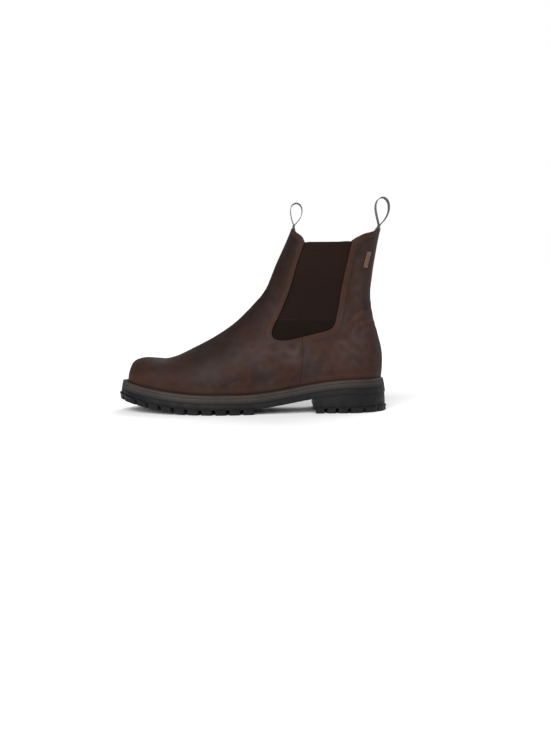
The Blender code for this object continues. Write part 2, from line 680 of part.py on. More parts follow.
def nail_places():
    """The twelve nails, one in each groove's diamond."""
    outer, inner, outer_widths, inner_widths = heel_paths()
    a, b = resample(outer, shares(outer_widths)[1:-1]), resample(inner, shares(inner_widths)[1:-1])
    return a + (b - a) * DIAMOND[1][0]


def circle(x, y, radius, count):
    turn = np.linspace(0, 2 * math.pi, count, endpoint=False)
    return [(x + radius * math.cos(t), y + radius * math.sin(t)) for t in turn]


def drill_nail_holes(made, low, high):
    holes = [circle(x, y, NAIL_RADIUS + GAP, 6) for x, y in nail_places()]
    apply_boolean(made, prisms("drill", holes, low, high), "DIFFERENCE")


def panel_outline(inwards):
    """The plain panel moulded into the waist, turned with the heel's axis."""
    half_x, half_y = (half - inwards for half in PANEL_HALF)
    corners = [(half_x, half_y), (-half_x, half_y), (-half_x, -half_y), (half_x, -half_y)]
    return turned(corners, (station(PANEL_PLACE[0]), PANEL_PLACE[1]), math.radians(PANEL_TURN))


def make_outsole():
    """The tread's base with its lugs and studs, two moulded lines in the waist and the nails' holes."""
    edge = tread_outline(96)
    foot, top = (inset(edge, side) for side in OUTSOLE_SIDE)
    base = ring_mesh([level_ring(foot, LUG_HEIGHT), level_ring(top, LUG_HEIGHT + OUTSOLE_BASE)],
                     "outsole", "black_rubber")
    blocks = forefoot_lugs() + [cross_stud(station(u), -v) for u, v in FOREFOOT_STUDS]
    apply_boolean(base, prisms("lugs", blocks, 0, LUG_HEIGHT + LUG_ROOT), "UNION")
    panel = groove_frame(panel_outline(0), panel_outline(LINE_WIDTH), LINE_DEPTH)
    apply_boolean(base, panel, "DIFFERENCE")
    x, y = station(MARK_PLACE[0]), MARK_PLACE[1]
    mark = [circle(x, y, MARK_RADIUS - inwards, 20) for inwards in (0, LINE_WIDTH)]
    apply_boolean(base, groove_frame(*mark, LINE_DEPTH), "DIFFERENCE")
    drill_nail_holes(base, LUG_HEIGHT - 2, LUG_HEIGHT + OUTSOLE_BASE + 2)
    slice_and_lift(base, sole_rise)


def make_heel_block():
    """The separate heel under the outsole, with its own lugs. Its top follows the outsole's lift."""
    edge = tread_outline(720)
    outer_corner, inner_corner = HEEL_CORNERS
    around = path_between(edge, (station(HEEL_BREAST), inner_corner), (station(HEEL_BREAST), outer_corner))
    around = resample(around, np.linspace(0, 1, 34))
    low, high = (close_heel(around, side) for side in OUTSOLE_SIDE)
    flat_top = 2 * LUG_HEIGHT
    block = ring_mesh([level_ring(low, LUG_HEIGHT), level_ring(high, flat_top)], "heel_block", "black_rubber")
    lugs = lugs_along(*heel_paths(), HEEL_GROOVES)
    studs = [cross_stud(station(u), -v, 7.2, 2.7) for u, v in HEEL_STUDS]
    apply_boolean(block, prisms("heel_lugs", lugs + studs, 0, LUG_HEIGHT + LUG_ROOT), "UNION")
    drill_nail_holes(block, LUG_HEIGHT - 3, flat_top + LUG_HEIGHT)

    def rise(x, z):
        return float(lift(x)) + LUG_HEIGHT - GAP - flat_top if z > flat_top - 0.5 else 0.0

    slice_and_lift(block, rise)


def close_heel(around, distance):
    """The heel's outline inset along its curve, kept straight across the breast."""
    tangent = np.gradient(around, axis=0)
    tangent /= np.linalg.norm(tangent, axis=1)[:, None]
    moved = around + np.stack([tangent[:, 1], -tangent[:, 0]], axis=1) * distance
    moved[0, 0] = moved[-1, 0] = station(HEEL_BREAST)
    return moved


def make_heel_nails():
    """Twelve nails: head low in the heel block, point in the midsole."""
    head, shank, point = NAIL_RADIUS, 0.7, 0.2
    for number, (x, y) in enumerate(nail_places(), start=1):
        low = 2 * LUG_HEIGHT - 2
        top = LUG_HEIGHT + float(lift(x)) + OUTSOLE_BASE + GAP + MIDSOLE_THICK / 2
        profile = [(head, low), (head, low + 1), (shank, low + 1.6), (shank, top - 2), (point, top)]
        rings = [level_ring(circle(x, y, radius, 6), z) for radius, z in profile]
        ring_mesh(rings, f"heel_nail_{number:02d}", "steel")


# ---------------------------------------------------------------- layers over the outsole
def make_midsole():
    edge = tread_outline(96)
    low = LUG_HEIGHT + OUTSOLE_BASE + GAP
    foot, top = (inset(edge, side) for side in MIDSOLE_SIDE)
    made = ring_mesh([level_ring(foot, low), level_ring(top, low + MIDSOLE_THICK)], "midsole", "grey_rubber")
    drill_nail_holes(made, low - 2, low + MIDSOLE_THICK / 2 + 2 * GAP)
    slice_and_lift(made, sole_rise)


def lifted_ring(outline, z):
    return [(x, y, z + float(lift(x))) for x, y in outline]


def cast_inwards(outline, polygon, clearance):
    """Where straight lines inwards from the outline's points come to the polygon, less the clearance."""
    tangent = np.roll(outline, -1, axis=0) - np.roll(outline, 1, axis=0)
    tangent /= np.linalg.norm(tangent, axis=1)[:, None]
    inward = np.stack([tangent[:, 1], -tangent[:, 0]], axis=1)
    a = polygon
    side = np.roll(polygon, -1, axis=0) - a
    found = []
    for start, way in zip(outline, inward):
        cross = way[0] * side[:, 1] - way[1] * side[:, 0]
        gap = a - start
        along = (gap[:, 0] * side[:, 1] - gap[:, 1] * side[:, 0]) / cross
        share = (gap[:, 0] * way[1] - gap[:, 1] * way[0]) / cross
        hits = along[(share >= -0.01) & (share <= 1.01) & (along > 0)]
        found.append(start + way * (hits.min() - clearance))
    return np.array(found)


def make_welt():
    """The strip round the foot that the leather stands in, against the pattern's lowest row."""
    edge = tread_outline(96)
    outside, shoulder = (inset(edge, side) for side in WELT_SIDE)
    inside = cast_inwards(edge, GRID.points[0, :, :2], 3 * GAP)
    low = FEATHER - WELT_THICK + GAP / 2
    loops = [lifted_ring(inside, low), lifted_ring(outside, low),
             lifted_ring(outside, FEATHER - WELT_THICK * 0.6),
             lifted_ring(shoulder, FEATHER - WELT_THICK * 0.3), lifted_ring(inside, FEATHER)]
    ring_mesh(loops, "welt", "grey_rubber", capped=False)


def make_insole_layers():
    """The board that the upper is lasted over, and the loose footbed on it."""
    edge = tread_outline(72)
    wall = LEATHER + LINING + STIFFENER + 10 * GAP
    board = inset(edge, lambda x: upper_inset(x) + wall)
    low = FEATHER - WELT_THICK + LEATHER + 4 * GAP
    plate("insole_board", [(board, low), (board, low + BOARD_THICK)], "insole_board")
    bed = inset(edge, lambda x: upper_inset(x) + wall + 1.0)
    low += BOARD_THICK + GAP
    plate("footbed", [(bed, low), (bed, low + FOOTBED_THICK)], "footbed_cover")


def make_filler_and_shank():
    """Cork under the ball of the foot, and the steel shank from the waist to the heel."""
    low = FEATHER - WELT_THICK + GAP
    ring = inset(tread_outline(72), lambda x: upper_inset(x) + LASTING_MARGIN + 2.0)
    front = ring[ring[:, 0] < CORK_END]
    plate("cork_filler", [(front, low), (front, low + LEATHER - GAP)], "cork")
    turn = np.radians(np.linspace(-90, 90, 9))
    half_round = SHANK_HALF * np.stack([np.cos(turn), np.sin(turn)], axis=1)
    heel_end, waist_end = SHANK_ENDS
    strip = np.vstack([half_round + heel_end, waist_end - half_round])
    plate("shank", [(strip, low + GAP), (strip, low + GAP + SHANK_THICK)], "steel")


# ---------------------------------------------------------------- upper, lining and stiffeners
def near_ridge(column, many):
    return min(column, GRID.count - column) <= many


def near_back(column, many):
    return abs(column - GRID.half) <= many


def lining_depth(key):
    """How deep the lining's outer face lies: deeper where a stiffener or a webbing end lies over it."""
    row, column = key
    under_puff = row <= TOE_PUFF_ROWS and near_ridge(column, TOE_PUFF_COLUMNS)
    under_counter = row <= COUNTER_ROWS and near_back(column, COUNTER_COLUMNS)
    near_tab = near_ridge(column, TAB_COLUMNS) or near_back(column, TAB_COLUMNS)
    if under_puff or under_counter:
        return LEATHER + GAP + STIFFENER + GAP
    if row >= GRID.levels[3] - TAB_ROWS and near_tab:
        return LEATHER + GAP + 2 * WEBBING + GAP
    return LEATHER + GAP


def lining_back(key):
    return lining_depth(key) + LINING


def pattern(front, mirrored):
    """The spans of a leather piece on one side: the vamp's half or the quarter."""
    low, gore, top = 0, GRID.levels[2], GRID.levels[3]
    if front:
        return [(GRID.columns(0, 3, mirrored), low, gore), (GRID.columns(0, 2, mirrored), gore, top)]
    return [(GRID.columns(3, 6, mirrored), low, gore), (GRID.columns(4, 6, mirrored), gore, top)]


def lining_pattern(front, mirrored):
    """As pattern(), but the lining stops where the elastic's margin begins."""
    low, margin, top = 0, GRID.levels[1], GRID.levels[3]
    if front:
        return [(GRID.columns(0, 3, mirrored), low, margin), (GRID.columns(0, 1, mirrored), margin, top)]
    return [(GRID.columns(3, 6, mirrored), low, margin), (GRID.columns(5, 6, mirrored), margin, top)]


def join_sides(spans_outer, spans_inner):
    """Spans that run unbroken across the ridge, from the inner side to the outer side."""
    joined = []
    for (a, low, high), (b, _, _) in zip(spans_outer, spans_inner):
        joined.append((b[::-1] + a[1:], low, high))
    return joined


def make_upper():
    shell_margin = (LEATHER, LASTING_MARGIN)
    vamp = join_sides(pattern(True, False), pattern(True, True))
    grid_piece("vamp", vamp, "brown_leather", 0.0, LEATHER, under=shell_margin)
    lining = join_sides(lining_pattern(True, False), lining_pattern(True, True))
    grid_piece("vamp_lining", lining, "lining_leather", lining_depth, lining_back, trim=2 * GAP)
    for side, mirrored in (("lateral", False), ("medial", True)):
        quarter, lining = pattern(False, mirrored), lining_pattern(False, mirrored)
        grid_piece("quarter_" + side, quarter, "brown_leather", 0.0, LEATHER, under=shell_margin)
        grid_piece("quarter_lining_" + side, lining, "lining_leather", lining_depth, lining_back,
                   trim=2 * GAP)
        gore = [(GRID.columns(1, 5, mirrored), GRID.levels[1], GRID.levels[3])]
        depth = LEATHER + GAP
        grid_piece("gore_" + side, gore, "brown_elastic", depth, depth + GORE_THICK, trim=GAP)


def make_stiffeners():
    depth = LEATHER + GAP
    for name, middle, wide, high in (("toe_puff", 0, TOE_PUFF_COLUMNS, TOE_PUFF_ROWS),
                                     ("heel_counter", GRID.half, COUNTER_COLUMNS, COUNTER_ROWS)):
        columns = [(middle + k) % GRID.count for k in range(-wide, wide + 1)]
        grid_piece(name, [(columns, 0, high)], "stiffener", depth, depth + STIFFENER, trim=1.0)


# ---------------------------------------------------------------- pull loops and tag
def fold_point(front):
    """Side-view place of the line that a pull loop folds about."""
    x = RIDGE_LINE[-1][0] + LOOP_INWARD if front else BACK_LINE[-1][0] - LOOP_INWARD
    return np.array([x, PEAK_Z + LOOP_RISE])


def along_row(row, middle, distance):
    """Point and normal on a grid row at a distance from the middle column, on the flat facets."""
    step = 1 if distance > 0 else -1
    column, left = middle, abs(distance)
    while True:
        beyond = (column + step) % GRID.count
        way = GRID.points[row, beyond] - GRID.points[row, column]
        length = np.linalg.norm(way)
        if left <= length:
            t = left / length
            normal = (1 - t) * GRID.normals[row, column] + t * GRID.normals[row, beyond]
            return GRID.points[row, column] + way * t, normal
        left -= length
        column = beyond


def make_tab(name, front):
    """The webbing's sewn end, between leather and lining, up to just under the fold line."""
    top = GRID.levels[3]
    middle = 0 if front else GRID.half
    half = LOOP_WIDTH / 2
    places = {"a": -half, "b": 0.0, "c": half}
    layers = [{}, {}]
    rows = list(range(top - TAB_ROWS, top + 1))
    for layer, depth in zip(layers, (LEATHER + GAP, LEATHER + 2 * WEBBING)):
        for mark, distance in places.items():
            for row in rows:
                point, normal = along_row(row, middle, distance)
                layer[(row, mark)] = point - normal * depth
            below, end = layer[(rows[-2], mark)], layer[(top, mark)]
            rise = end - below
            layer[(top, mark)] = below + rise * ((PEAK_Z + GAP - below[2]) / rise[2])
    cells = []
    for row in rows[:-1]:
        for a, b in ("ab", "bc"):
            cells.append([(row, a), (row, b), (row + 1, b), (row + 1, a)])
    return shell(name, layers, cells, "black_webbing")


def teardrop(height, width, count=26):
    """Closed outline of a teardrop that stands with its point at the origin, from the point round."""
    turn = np.linspace(-math.pi / 2, 3 * math.pi / 2, count + 1)[:-1]
    up = np.sin(turn)
    across = np.cos(turn) * (0.5 + 0.5 * up) ** 0.42
    return np.stack([across / across.max() * width / 2, (1 + up) * height / 2], axis=1)


def inside_teardrop(outline, thick):
    """The hole that a strip of this thickness leaves in the teardrop, down to where its sides meet."""
    tangent = np.roll(outline, -1, axis=0) - np.roll(outline, 1, axis=0)
    tangent /= np.linalg.norm(tangent, axis=1)[:, None]
    moved = outline + np.stack([-tangent[:, 1], tangent[:, 0]], axis=1) * thick
    apart = moved[:, 0] * np.sign(outline[:, 0]) > thick / 2
    return moved[apart | (outline[:, 1] >= outline[:, 1].max())]


def make_loop(name, front):
    """A teardrop of webbing standing on its stem over the fold line, with a slot through it for a finger."""
    height, width, lean = FRONT_LOOP if front else BACK_LOOP
    fold = fold_point(front)
    drop = teardrop(height - LOOP_STEM, width)
    across = np.linspace(-1, 1, 5) * WEBBING
    low_end = -np.sqrt(np.clip(WEBBING ** 2 - across ** 2, 0, None))
    stem = np.stack([across, low_end], axis=1)
    body = drop[np.abs(drop[:, 0]) > WEBBING] + (0, LOOP_STEM)
    top = int(np.argmax(drop[:, 1]))
    right, left = body[body[:, 0] > 0], body[body[:, 0] < 0]
    outside = np.vstack([right, [drop[top] + (0, LOOP_STEM)], left])

    def standing(points):
        return [(fold[0] + x + lean * math.sin(min(1, max(0, z) / (0.55 * height)) * math.pi / 2),
                 fold[1] + z) for x, z in points]

    made = side_prism(name, standing(np.vstack([outside, stem])), LOOP_WIDTH / 2, "black_webbing")
    hole = inside_teardrop(drop, WEBBING) + (0, LOOP_STEM)
    apply_boolean(made, side_prism("slot", standing(hole), LOOP_WIDTH, "black_webbing"), "DIFFERENCE")


def side_prism(name, outline, half, slot):
    """A side-view outline run across the boot, half to each side."""
    many = len(outline)
    vertices = [(x, -half, z) for x, z in outline] + [(x, half, z) for x, z in outline]
    faces = [list(range(many)), [many + i for i in range(many)][::-1]]
    for i in range(many):
        j = (i + 1) % many
        faces.append([j, i, many + i, many + j])
    return from_mesh_data(name, vertices, faces, slot)


def outer_side(x, z, step=0.5):
    """Point and outward normal of the upper's outer side at a place in the side view."""
    w = half_width(OUTER, np.array([x, x + step, x, x - step, x]), np.array([z, z, z + step, z, z - step]))
    normal = np.array([(w[3] - w[1]) / (2 * step), -1.0, (w[4] - w[2]) / (2 * step)])
    return np.array([x, -w[0], z]), normal / np.linalg.norm(normal)


def make_side_tag():
    """A small blank tag sewn to the outer quarter, behind the elastic and below the collar."""
    places = [outer_side(x, z) for x, z in TAG]
    layers = [[point + normal * stand for point, normal in places] for stand in (0.5 + TAG_THICK, 0.5)]
    ring_mesh(layers, "side_tag", "tan_tag")


# ---------------------------------------------------------------- the whole boot
def clear_scene():
    for old in list(bpy.data.objects):
        bpy.data.objects.remove(old)


def stand_on_origin():
    """Moves everything so that the boot's box is centred over the origin and stands on the ground."""
    parts = [o for o in bpy.context.scene.objects if o.type == "MESH"]
    corners = [v.co for o in parts for v in o.data.vertices]
    low = Vector(min(c[k] for c in corners) for k in range(3))
    high = Vector(max(c[k] for c in corners) for k in range(3))
    shift = Vector(((low.x + high.x) / 2, (low.y + high.y) / 2, low.z))
    for part in parts:
        part.data.transform(part.matrix_world)
        origin = Vector((0, 0, 0))
        if part.name in ("front_pull_loop", "back_pull_loop"):
            x, z = fold_point(part.name == "front_pull_loop")
            origin = Vector((x * MM, 0, z * MM))
        for v in part.data.vertices:
            v.co -= origin
        part.location = origin - shift


def main():
    clear_scene()
    make_outsole()
    make_heel_block()
    make_heel_nails()
    make_midsole()
    make_welt()
    make_insole_layers()
    make_filler_and_shank()
    make_upper()
    make_stiffeners()
    for place, front in (("front", True), ("back", False)):
        make_tab(place + "_pull_tab", front)
        make_loop(place + "_pull_loop", front)
    make_side_tag()
    stand_on_origin()


main()
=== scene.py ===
"""Looks of a left chelsea boot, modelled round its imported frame.

The boot is laid out in a drafting space in millimetres: x and z as in a side view with the sole's middle at
x = 0 and the ground at z = 0, y from the foot's own axis with the outer side negative. place() turns that
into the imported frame, in metres.
"""

import json
import math
from contextlib import contextmanager

import bmesh
import bpy
import numpy as np
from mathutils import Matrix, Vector, noise
from mathutils.bvhtree import BVHTree
from mathutils.kdtree import KDTree


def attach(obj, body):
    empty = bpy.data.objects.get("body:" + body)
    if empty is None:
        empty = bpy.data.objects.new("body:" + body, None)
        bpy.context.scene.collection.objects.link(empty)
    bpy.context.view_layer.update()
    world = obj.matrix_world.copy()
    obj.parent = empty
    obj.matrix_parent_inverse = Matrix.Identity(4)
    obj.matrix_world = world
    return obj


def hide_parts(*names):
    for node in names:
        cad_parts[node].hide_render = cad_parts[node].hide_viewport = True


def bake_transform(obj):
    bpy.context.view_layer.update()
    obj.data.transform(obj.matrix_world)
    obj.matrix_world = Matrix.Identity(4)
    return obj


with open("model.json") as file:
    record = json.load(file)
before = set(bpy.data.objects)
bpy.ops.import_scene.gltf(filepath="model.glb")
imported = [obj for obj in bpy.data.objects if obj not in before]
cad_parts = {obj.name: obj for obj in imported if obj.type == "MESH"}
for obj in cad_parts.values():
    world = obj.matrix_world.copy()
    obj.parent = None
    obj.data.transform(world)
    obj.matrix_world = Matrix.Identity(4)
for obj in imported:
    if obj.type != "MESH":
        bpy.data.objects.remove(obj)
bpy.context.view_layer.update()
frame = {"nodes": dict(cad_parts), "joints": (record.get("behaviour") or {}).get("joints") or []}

MM = 0.001
OUTER, INNER = -1, 1     # the two sides of the foot, as the sign of y
SIDES = (("lateral", OUTER), ("medial", INNER))

# ---- dimensions shared with the frame, millimetres
GAP = 0.3
SOLE_LENGTH = 304.0
LUG_HEIGHT = 5.5
OUTSOLE_BASE = 6.2
MIDSOLE_THICK = 6.0
WELT_THICK = 3.0
FEATHER = LUG_HEIGHT + OUTSOLE_BASE + GAP + MIDSOLE_THICK + GAP + WELT_THICK
TOE_SPRING = 14.5
HEEL_RISE = 15.7
BALL_FRONT = -44.0
BALL_BACK = -14.0
HEEL_LEVEL = 115.0
LEATHER = 2.0
LINING = 1.0
STIFFENER = 1.0
GORE_THICK = 1.3
BOARD_THICK = 2.0
FOOTBED_THICK = 4.0
WEBBING = 1.2
LOOP_WIDTH = 20.0
LOOP_INWARD = 1.6
LOOP_RISE = 1.5
LOOP_STEM = 1.2
PEAK_Z = 207.0
GORE_MARGIN = 6.0
MARGIN_DROP = 1.0
GORE_TOP_Z = 190.4
HEEL_BREAST = 84.0
NAIL_RADIUS = 1.1
OUTSOLE_SIDE = (0.8, 1.6)            # from the tread's edge in to the layer's side, at its foot and its top
MIDSOLE_SIDE = (1.7, 2.6)
WELT_SIDE = 2.9          # from the tread's edge in to the welt's

# Half widths of the tread, from the foot's axis, against the distance from the back of the heel.
TREAD_OUTER = [(9, 20), (22, 31), (40, 38), (64, 40), (84, 42), (115, 48), (150, 54.7), (186, 60),
               (212, 59.4), (236, 55.5), (262, 47), (280, 38), (295, 25.5)]
TREAD_INNER = [(9, 20), (22, 31), (40, 37.5), (64, 36.6), (84, 33.6), (100, 29.6), (120, 27.6), (140, 29),
               (165, 36.2), (186, 43.2), (212, 48.2), (236, 48.2), (262, 42.8), (280, 36), (295, 25)]

# Side view of the upper: the ridge from toe to collar, and the back line from heel to collar.
RIDGE = [(-143, 34), (-141.2, 45), (-136, 55.5), (-124, 60), (-110, 59.5), (-98, 59), (-88, 61.6), (-76, 67),
         (-49, 81), (-22, 98.8), (6, 126.5), (14, 137.5), (26, 165.5), (36, 188), (44, PEAK_Z)]
BACK = [(146.5, 37), (147.5, 52), (146.5, 70), (142, 88), (136.5, 108), (133.6, 130), (135.5, 155),
        (140, 183), (144.9, PEAK_Z)]
PLATEAU = (-124, 60)
SHAFT_HEIGHTS, SHAFT_WIDTHS = (30, 90, 120, 150, 190, 215), (34, 33, 34, 36.5, 39, 40)
# The upper rounds over its ridge: x, the reach of the rounding and its power.
RIDGE_PLACES, ROUND_REACH, ROUND_POWER = (-110, -60, -15, 30), (26, 42, 54, 47), (2.4, 2.0, 2.0, 2.0)
SHAFT_BACK_REACH = 44    # the shaft's back is rounded over this distance
TOE_LEANS = (-80, -122)  # x over which the outline follows the toe's leaning front
HEEL_LEANS = (60, 120)   # and over which it follows the back line
FOOT_TO_SHAFT = (52, 112)            # heights between which the foot's width gives way to the shaft's
FOOT_BULGE, BULGE_HEIGHT = 0.05, 32  # the foot swells by this share between the welt and this height
UPPER_INSET = (8.0, 5.5)             # from the tread's edge in to the leather, at the foot and at the heel

# Elastic panel and collar, side view.
GORE_FRONT = [(23.5, 84), (21.2, 89.5), (22.9, 96), (28.8, 108), (35.5, 123.3), (42.4, 142), (48.3, 164),
              (57.3, GORE_TOP_Z)]
GORE_REAR = [(88.7, 95), (91.8, 100), (93.3, 106.5), (96.6, 123.3), (99.2, 140.5), (103.5, 160.6),
             (110.5, GORE_TOP_Z)]
GORE_BOTTOM_FRONT = [(23.5, 84), (28.8, 81.7), (38, 81.5), (55.5, 85)]
GORE_BOTTOM_REAR = [(55.5, 85), (72, 89), (82, 91.5), (88.7, 95)]
COLLAR_FRONT = [(44, PEAK_Z), (46, 204.2), (48.2, 201.6), (50.7, 199.6), (53.2, 197.6), (55.2, 195.2)]
COLLAR_REAR = [(115.1, 193.9), (120.4, 197.2), (125.6, 199.3), (130.8, 200.6), (136.5, 202.4), (140.1, 204.3),
               (144.9, PEAK_Z)]
SIDE_SEAM = [(53, 0), (56, 62), (55.5, 79)]

# Where the pattern's lines start: x at the welt, x on the ridge and z on the back line.
FEATHER_STOPS = (-14, -7, 53, 96, 103)
RIDGE_CUTS = (-18, -10)
BACK_CUTS = (98, 106)


# ---- curves and small functions
def smoothstep(t):
    t = np.clip(t, 0.0, 1.0)
    return t * t * (3 - 2 * t)


def fade(value, start, end):
    """0 up to start, rising smoothly to 1 at end. start may lie above end."""
    return smoothstep((value - start) / (end - start))


def hump(value, width):
    """A bell curve: 1 at zero, about a third at this width."""
    return np.exp(-(value / width) ** 2)


def unit(vectors):
    return vectors / np.linalg.norm(vectors, axis=-1, keepdims=True)


def lengths(line):
    """The distance along a polyline at each of its points."""
    return np.concatenate([[0], np.cumsum(np.linalg.norm(np.diff(line, axis=0), axis=1))])


def leftward(line, closed=False):
    """The direction to the left of a flat line at each of its points."""
    along = np.roll(line, -1, axis=0) - np.roll(line, 1, axis=0) if closed else np.gradient(line, axis=0)
    along = unit(along)
    return np.stack([-along[:, 1], along[:, 0]], axis=1)


def shifted(line, distance):
    """A flat line moved to its left by a distance."""
    return line + leftward(line) * distance


def resample(line, fractions):
    """Points at these fractions of a polyline's length."""
    line = np.asarray(line, float)
    along = lengths(line)
    where = np.asarray(fractions) * along[-1]
    return np.stack([np.interp(where, along, line[:, k]) for k in range(line.shape[1])], axis=1)


SPLINE_STEPS = 24        # places worked out between two given points


def blended(t, start, end, a, b):
    """a at the start, turning evenly to b at the end."""
    return (end - t) / (end - start) * a + (t - start) / (end - start) * b


def spline(points, count, closed=False, before=None, after=None):
    """Evenly spaced points on a centripetal Catmull-Rom curve through the given ones.

    before and after are points of the neighbouring curves, which an open curve then runs on into smoothly."""
    p = np.array(points, float)
    first = 2 * p[:1] - p[1:2] if before is None else [before]
    last = 2 * p[-1:] - p[-2:-1] if after is None else [after]
    if closed:
        first, last = p[-1:], p[:2]
    p = np.vstack([first, p, last])
    dense = []
    for four in zip(p, p[1:], p[2:], p[3:]):
        knots = [0.0]
        for a, b in zip(four, four[1:]):
            knots.append(knots[-1] + math.sqrt(np.linalg.norm(b - a)))
        t = np.linspace(knots[1], knots[2], SPLINE_STEPS, endpoint=False)[:, None]
        curves = list(four)
        for span in (1, 2):
            curves = [blended(t, knots[k], knots[k + span], curves[k], curves[k + 1])
                      for k in range(len(curves) - 1)]
        dense.append(blended(t, knots[1], knots[2], *curves))
    dense.append(p[-2][None, :])
    return resample(np.vstack(dense), np.linspace(0, 1, count + 1 if closed else count))[:count]


def through(x, xs, ys):
    """Smooth curve through a table's points, level beyond its ends."""
    xs, ys = np.array(xs, float), np.array(ys, float)
    slope = np.gradient(ys, xs)
    slope[0] = slope[-1] = 0
    x = np.clip(x, xs[0], xs[-1])
    k = np.clip(np.searchsorted(xs, x) - 1, 0, len(xs) - 2)
    step = xs[k + 1] - xs[k]
    t = (x - xs[k]) / step
    rise = t * t * (3 - 2 * t)
    return (ys[k] * (1 - rise) + ys[k + 1] * rise
            + step * t * (1 - t) * (slope[k] * (1 - t) - slope[k + 1] * t))


def rounding(t, power):
    """0 at t = 0, rising like the edge of a superellipse to 1 at t = 1 and beyond."""
    return (1 - (1 - np.clip(t, 0, 1)) ** power) ** (1 / power)


PAST_TIP = 1.1           # the toe spring runs on a little past the sole's tip


def lift(x):
    """How far the sole's layers stand above their place at the ball of the foot."""
    to_tip = np.clip((BALL_FRONT - x) / (BALL_FRONT + SOLE_LENGTH / 2), 0, PAST_TIP)
    to_heel = (x - BALL_BACK) / (HEEL_LEVEL - BALL_BACK)
    return TOE_SPRING * to_tip ** 2 + HEEL_RISE * smoothstep(to_heel)


def feather_z(x):
    return FEATHER + lift(x)


def station(distance):
    """x of a distance from the back of the heel."""
    return SOLE_LENGTH / 2 - distance


# ---- outlines of the sole, seen from above
def tread_outline(count):
    """The tread's edge, closed, from the back of the heel along the outer side to the toe and back."""
    points = [(station(0), 0)]
    points += [(station(u), -w) for u, w in TREAD_OUTER]
    points += [(station(SOLE_LENGTH), 0)]
    points += [(station(u), w) for u, w in reversed(TREAD_INNER)]
    return spline(points, count, closed=True)


def inset(outline, distance):
    """A closed outline moved inwards, to its right. distance is a number or a function of x."""
    amount = distance(outline[:, 0]) if callable(distance) else np.full(len(outline), distance)
    return outline - leftward(outline, closed=True) * amount[:, None]


def upper_inset(x):
    """From the tread's edge in to where the leather meets the welt."""
    foot, heel = UPPER_INSET
    return foot + (heel - foot) * fade(x, *HEEL_LEANS)


def half_width_table(side):
    """x against the leather's half width at the welt."""
    ring = inset(tread_outline(1600), upper_inset)
    part = ring[ring[:, 1] * side >= 0]
    part = part[np.argsort(part[:, 0])]
    x = np.concatenate([[RIDGE[0][0]], part[:, 0], [BACK[0][0]]])
    w = np.concatenate([[0], np.abs(part[:, 1]), [0]])
    return x, w


# ---- the upper's outer surface
RIDGE_LINE = spline(RIDGE, 500)
BACK_LINE = spline(BACK, 300)
TOE_TURN = int(np.argmin(np.abs(RIDGE_LINE[:, 0] - PLATEAU[0])))
# The top of the side view, run on level past the toe and upwards past the collar.
TOP_LINE = np.vstack([[(-165, PLATEAU[1])], RIDGE_LINE[TOE_TURN:], [RIDGE_LINE[-1] + (15, 33)]])
TOP_LINE = resample(TOP_LINE, np.linspace(0, 1, 200))
HALF_WIDTHS = {side: half_width_table(side) for side in (OUTER, INNER)}


def distance_to(line, x, z):
    """Distance from each point to a polyline, and x of the nearest place on it."""
    a, b = line[:-1], line[1:]
    d = b - a
    p = np.stack([x, z], axis=-1)[..., None, :]
    t = np.clip(((p - a) * d).sum(-1) / (d * d).sum(-1), 0, 1)
    foot = a + t[..., None] * d
    far = np.linalg.norm(p - foot, axis=-1)
    best = far.argmin(-1)[..., None]
    return np.take_along_axis(far, best, -1)[..., 0], np.take_along_axis(foot[..., 0], best, -1)[..., 0]


def half_width(side, x, z):
    """The upper's half width from the foot's axis at a place in the side view."""
    back_x = np.interp(z, BACK_LINE[:, 1], BACK_LINE[:, 0])
    toe_front = RIDGE_LINE[:TOE_TURN]
    front_lean = np.interp(z, toe_front[:, 1], toe_front[:, 0]) - RIDGE[0][0]
    back_lean = back_x - BACK[0][0]
    upright = x - front_lean * fade(x, *TOE_LEANS) - back_lean * fade(x, *HEEL_LEANS)
    above = np.clip((z - feather_z(x)) / BULGE_HEIGHT, 0, 1)
    foot = np.interp(upright, *HALF_WIDTHS[side]) * (1 + FOOT_BULGE * np.sin(math.pi * above))
    shaft = through(z, SHAFT_HEIGHTS, SHAFT_WIDTHS) * rounding((back_x - x) / SHAFT_BACK_REACH, 2.0)
    body = foot + (shaft - foot) * fade(z, *FOOT_TO_SHAFT)
    below, at = distance_to(TOP_LINE, x, z)
    reach = through(at, RIDGE_PLACES, ROUND_REACH)
    power = through(at, RIDGE_PLACES, ROUND_POWER)
    return body * rounding(below / reach, power)


def coons(bottom, top, left, right, us, vs, by_index=False):
    """Side-view points of a four-sided patch: bottom and top run along u, left and right along v."""
    u, v = np.meshgrid(us, vs)
    u, v = u[..., None], v[..., None]
    b, t = resample(bottom, us)[None], resample(top, us)[None]
    if by_index:
        places, numbers = vs * (len(left) - 1), np.arange(len(left))
        le = np.stack([np.interp(places, numbers, left[:, k]) for k in range(2)], axis=1)[:, None]
    else:
        le = resample(left, vs)[:, None]
    r = resample(right, vs)[:, None]
    corners = ((1 - u) * (1 - v) * bottom[0] + u * (1 - v) * bottom[-1]
               + (1 - u) * v * top[0] + u * v * top[-1])
    return (1 - v) * b + v * t + (1 - u) * le + u * r - corners


CROWDING = 1.5           # how strongly rows and columns crowd towards a cut edge
SMOOTHING_ROUNDS = 10


def even(t):
    return t


def to_start(t):
    return t ** CROWDING


def to_end(t):
    return 1 - (1 - t) ** CROWDING


def from_ridge(t):
    return 1 - np.cos(t * math.pi / 2)


def to_back(t):
    return np.sin(t * math.pi / 2)


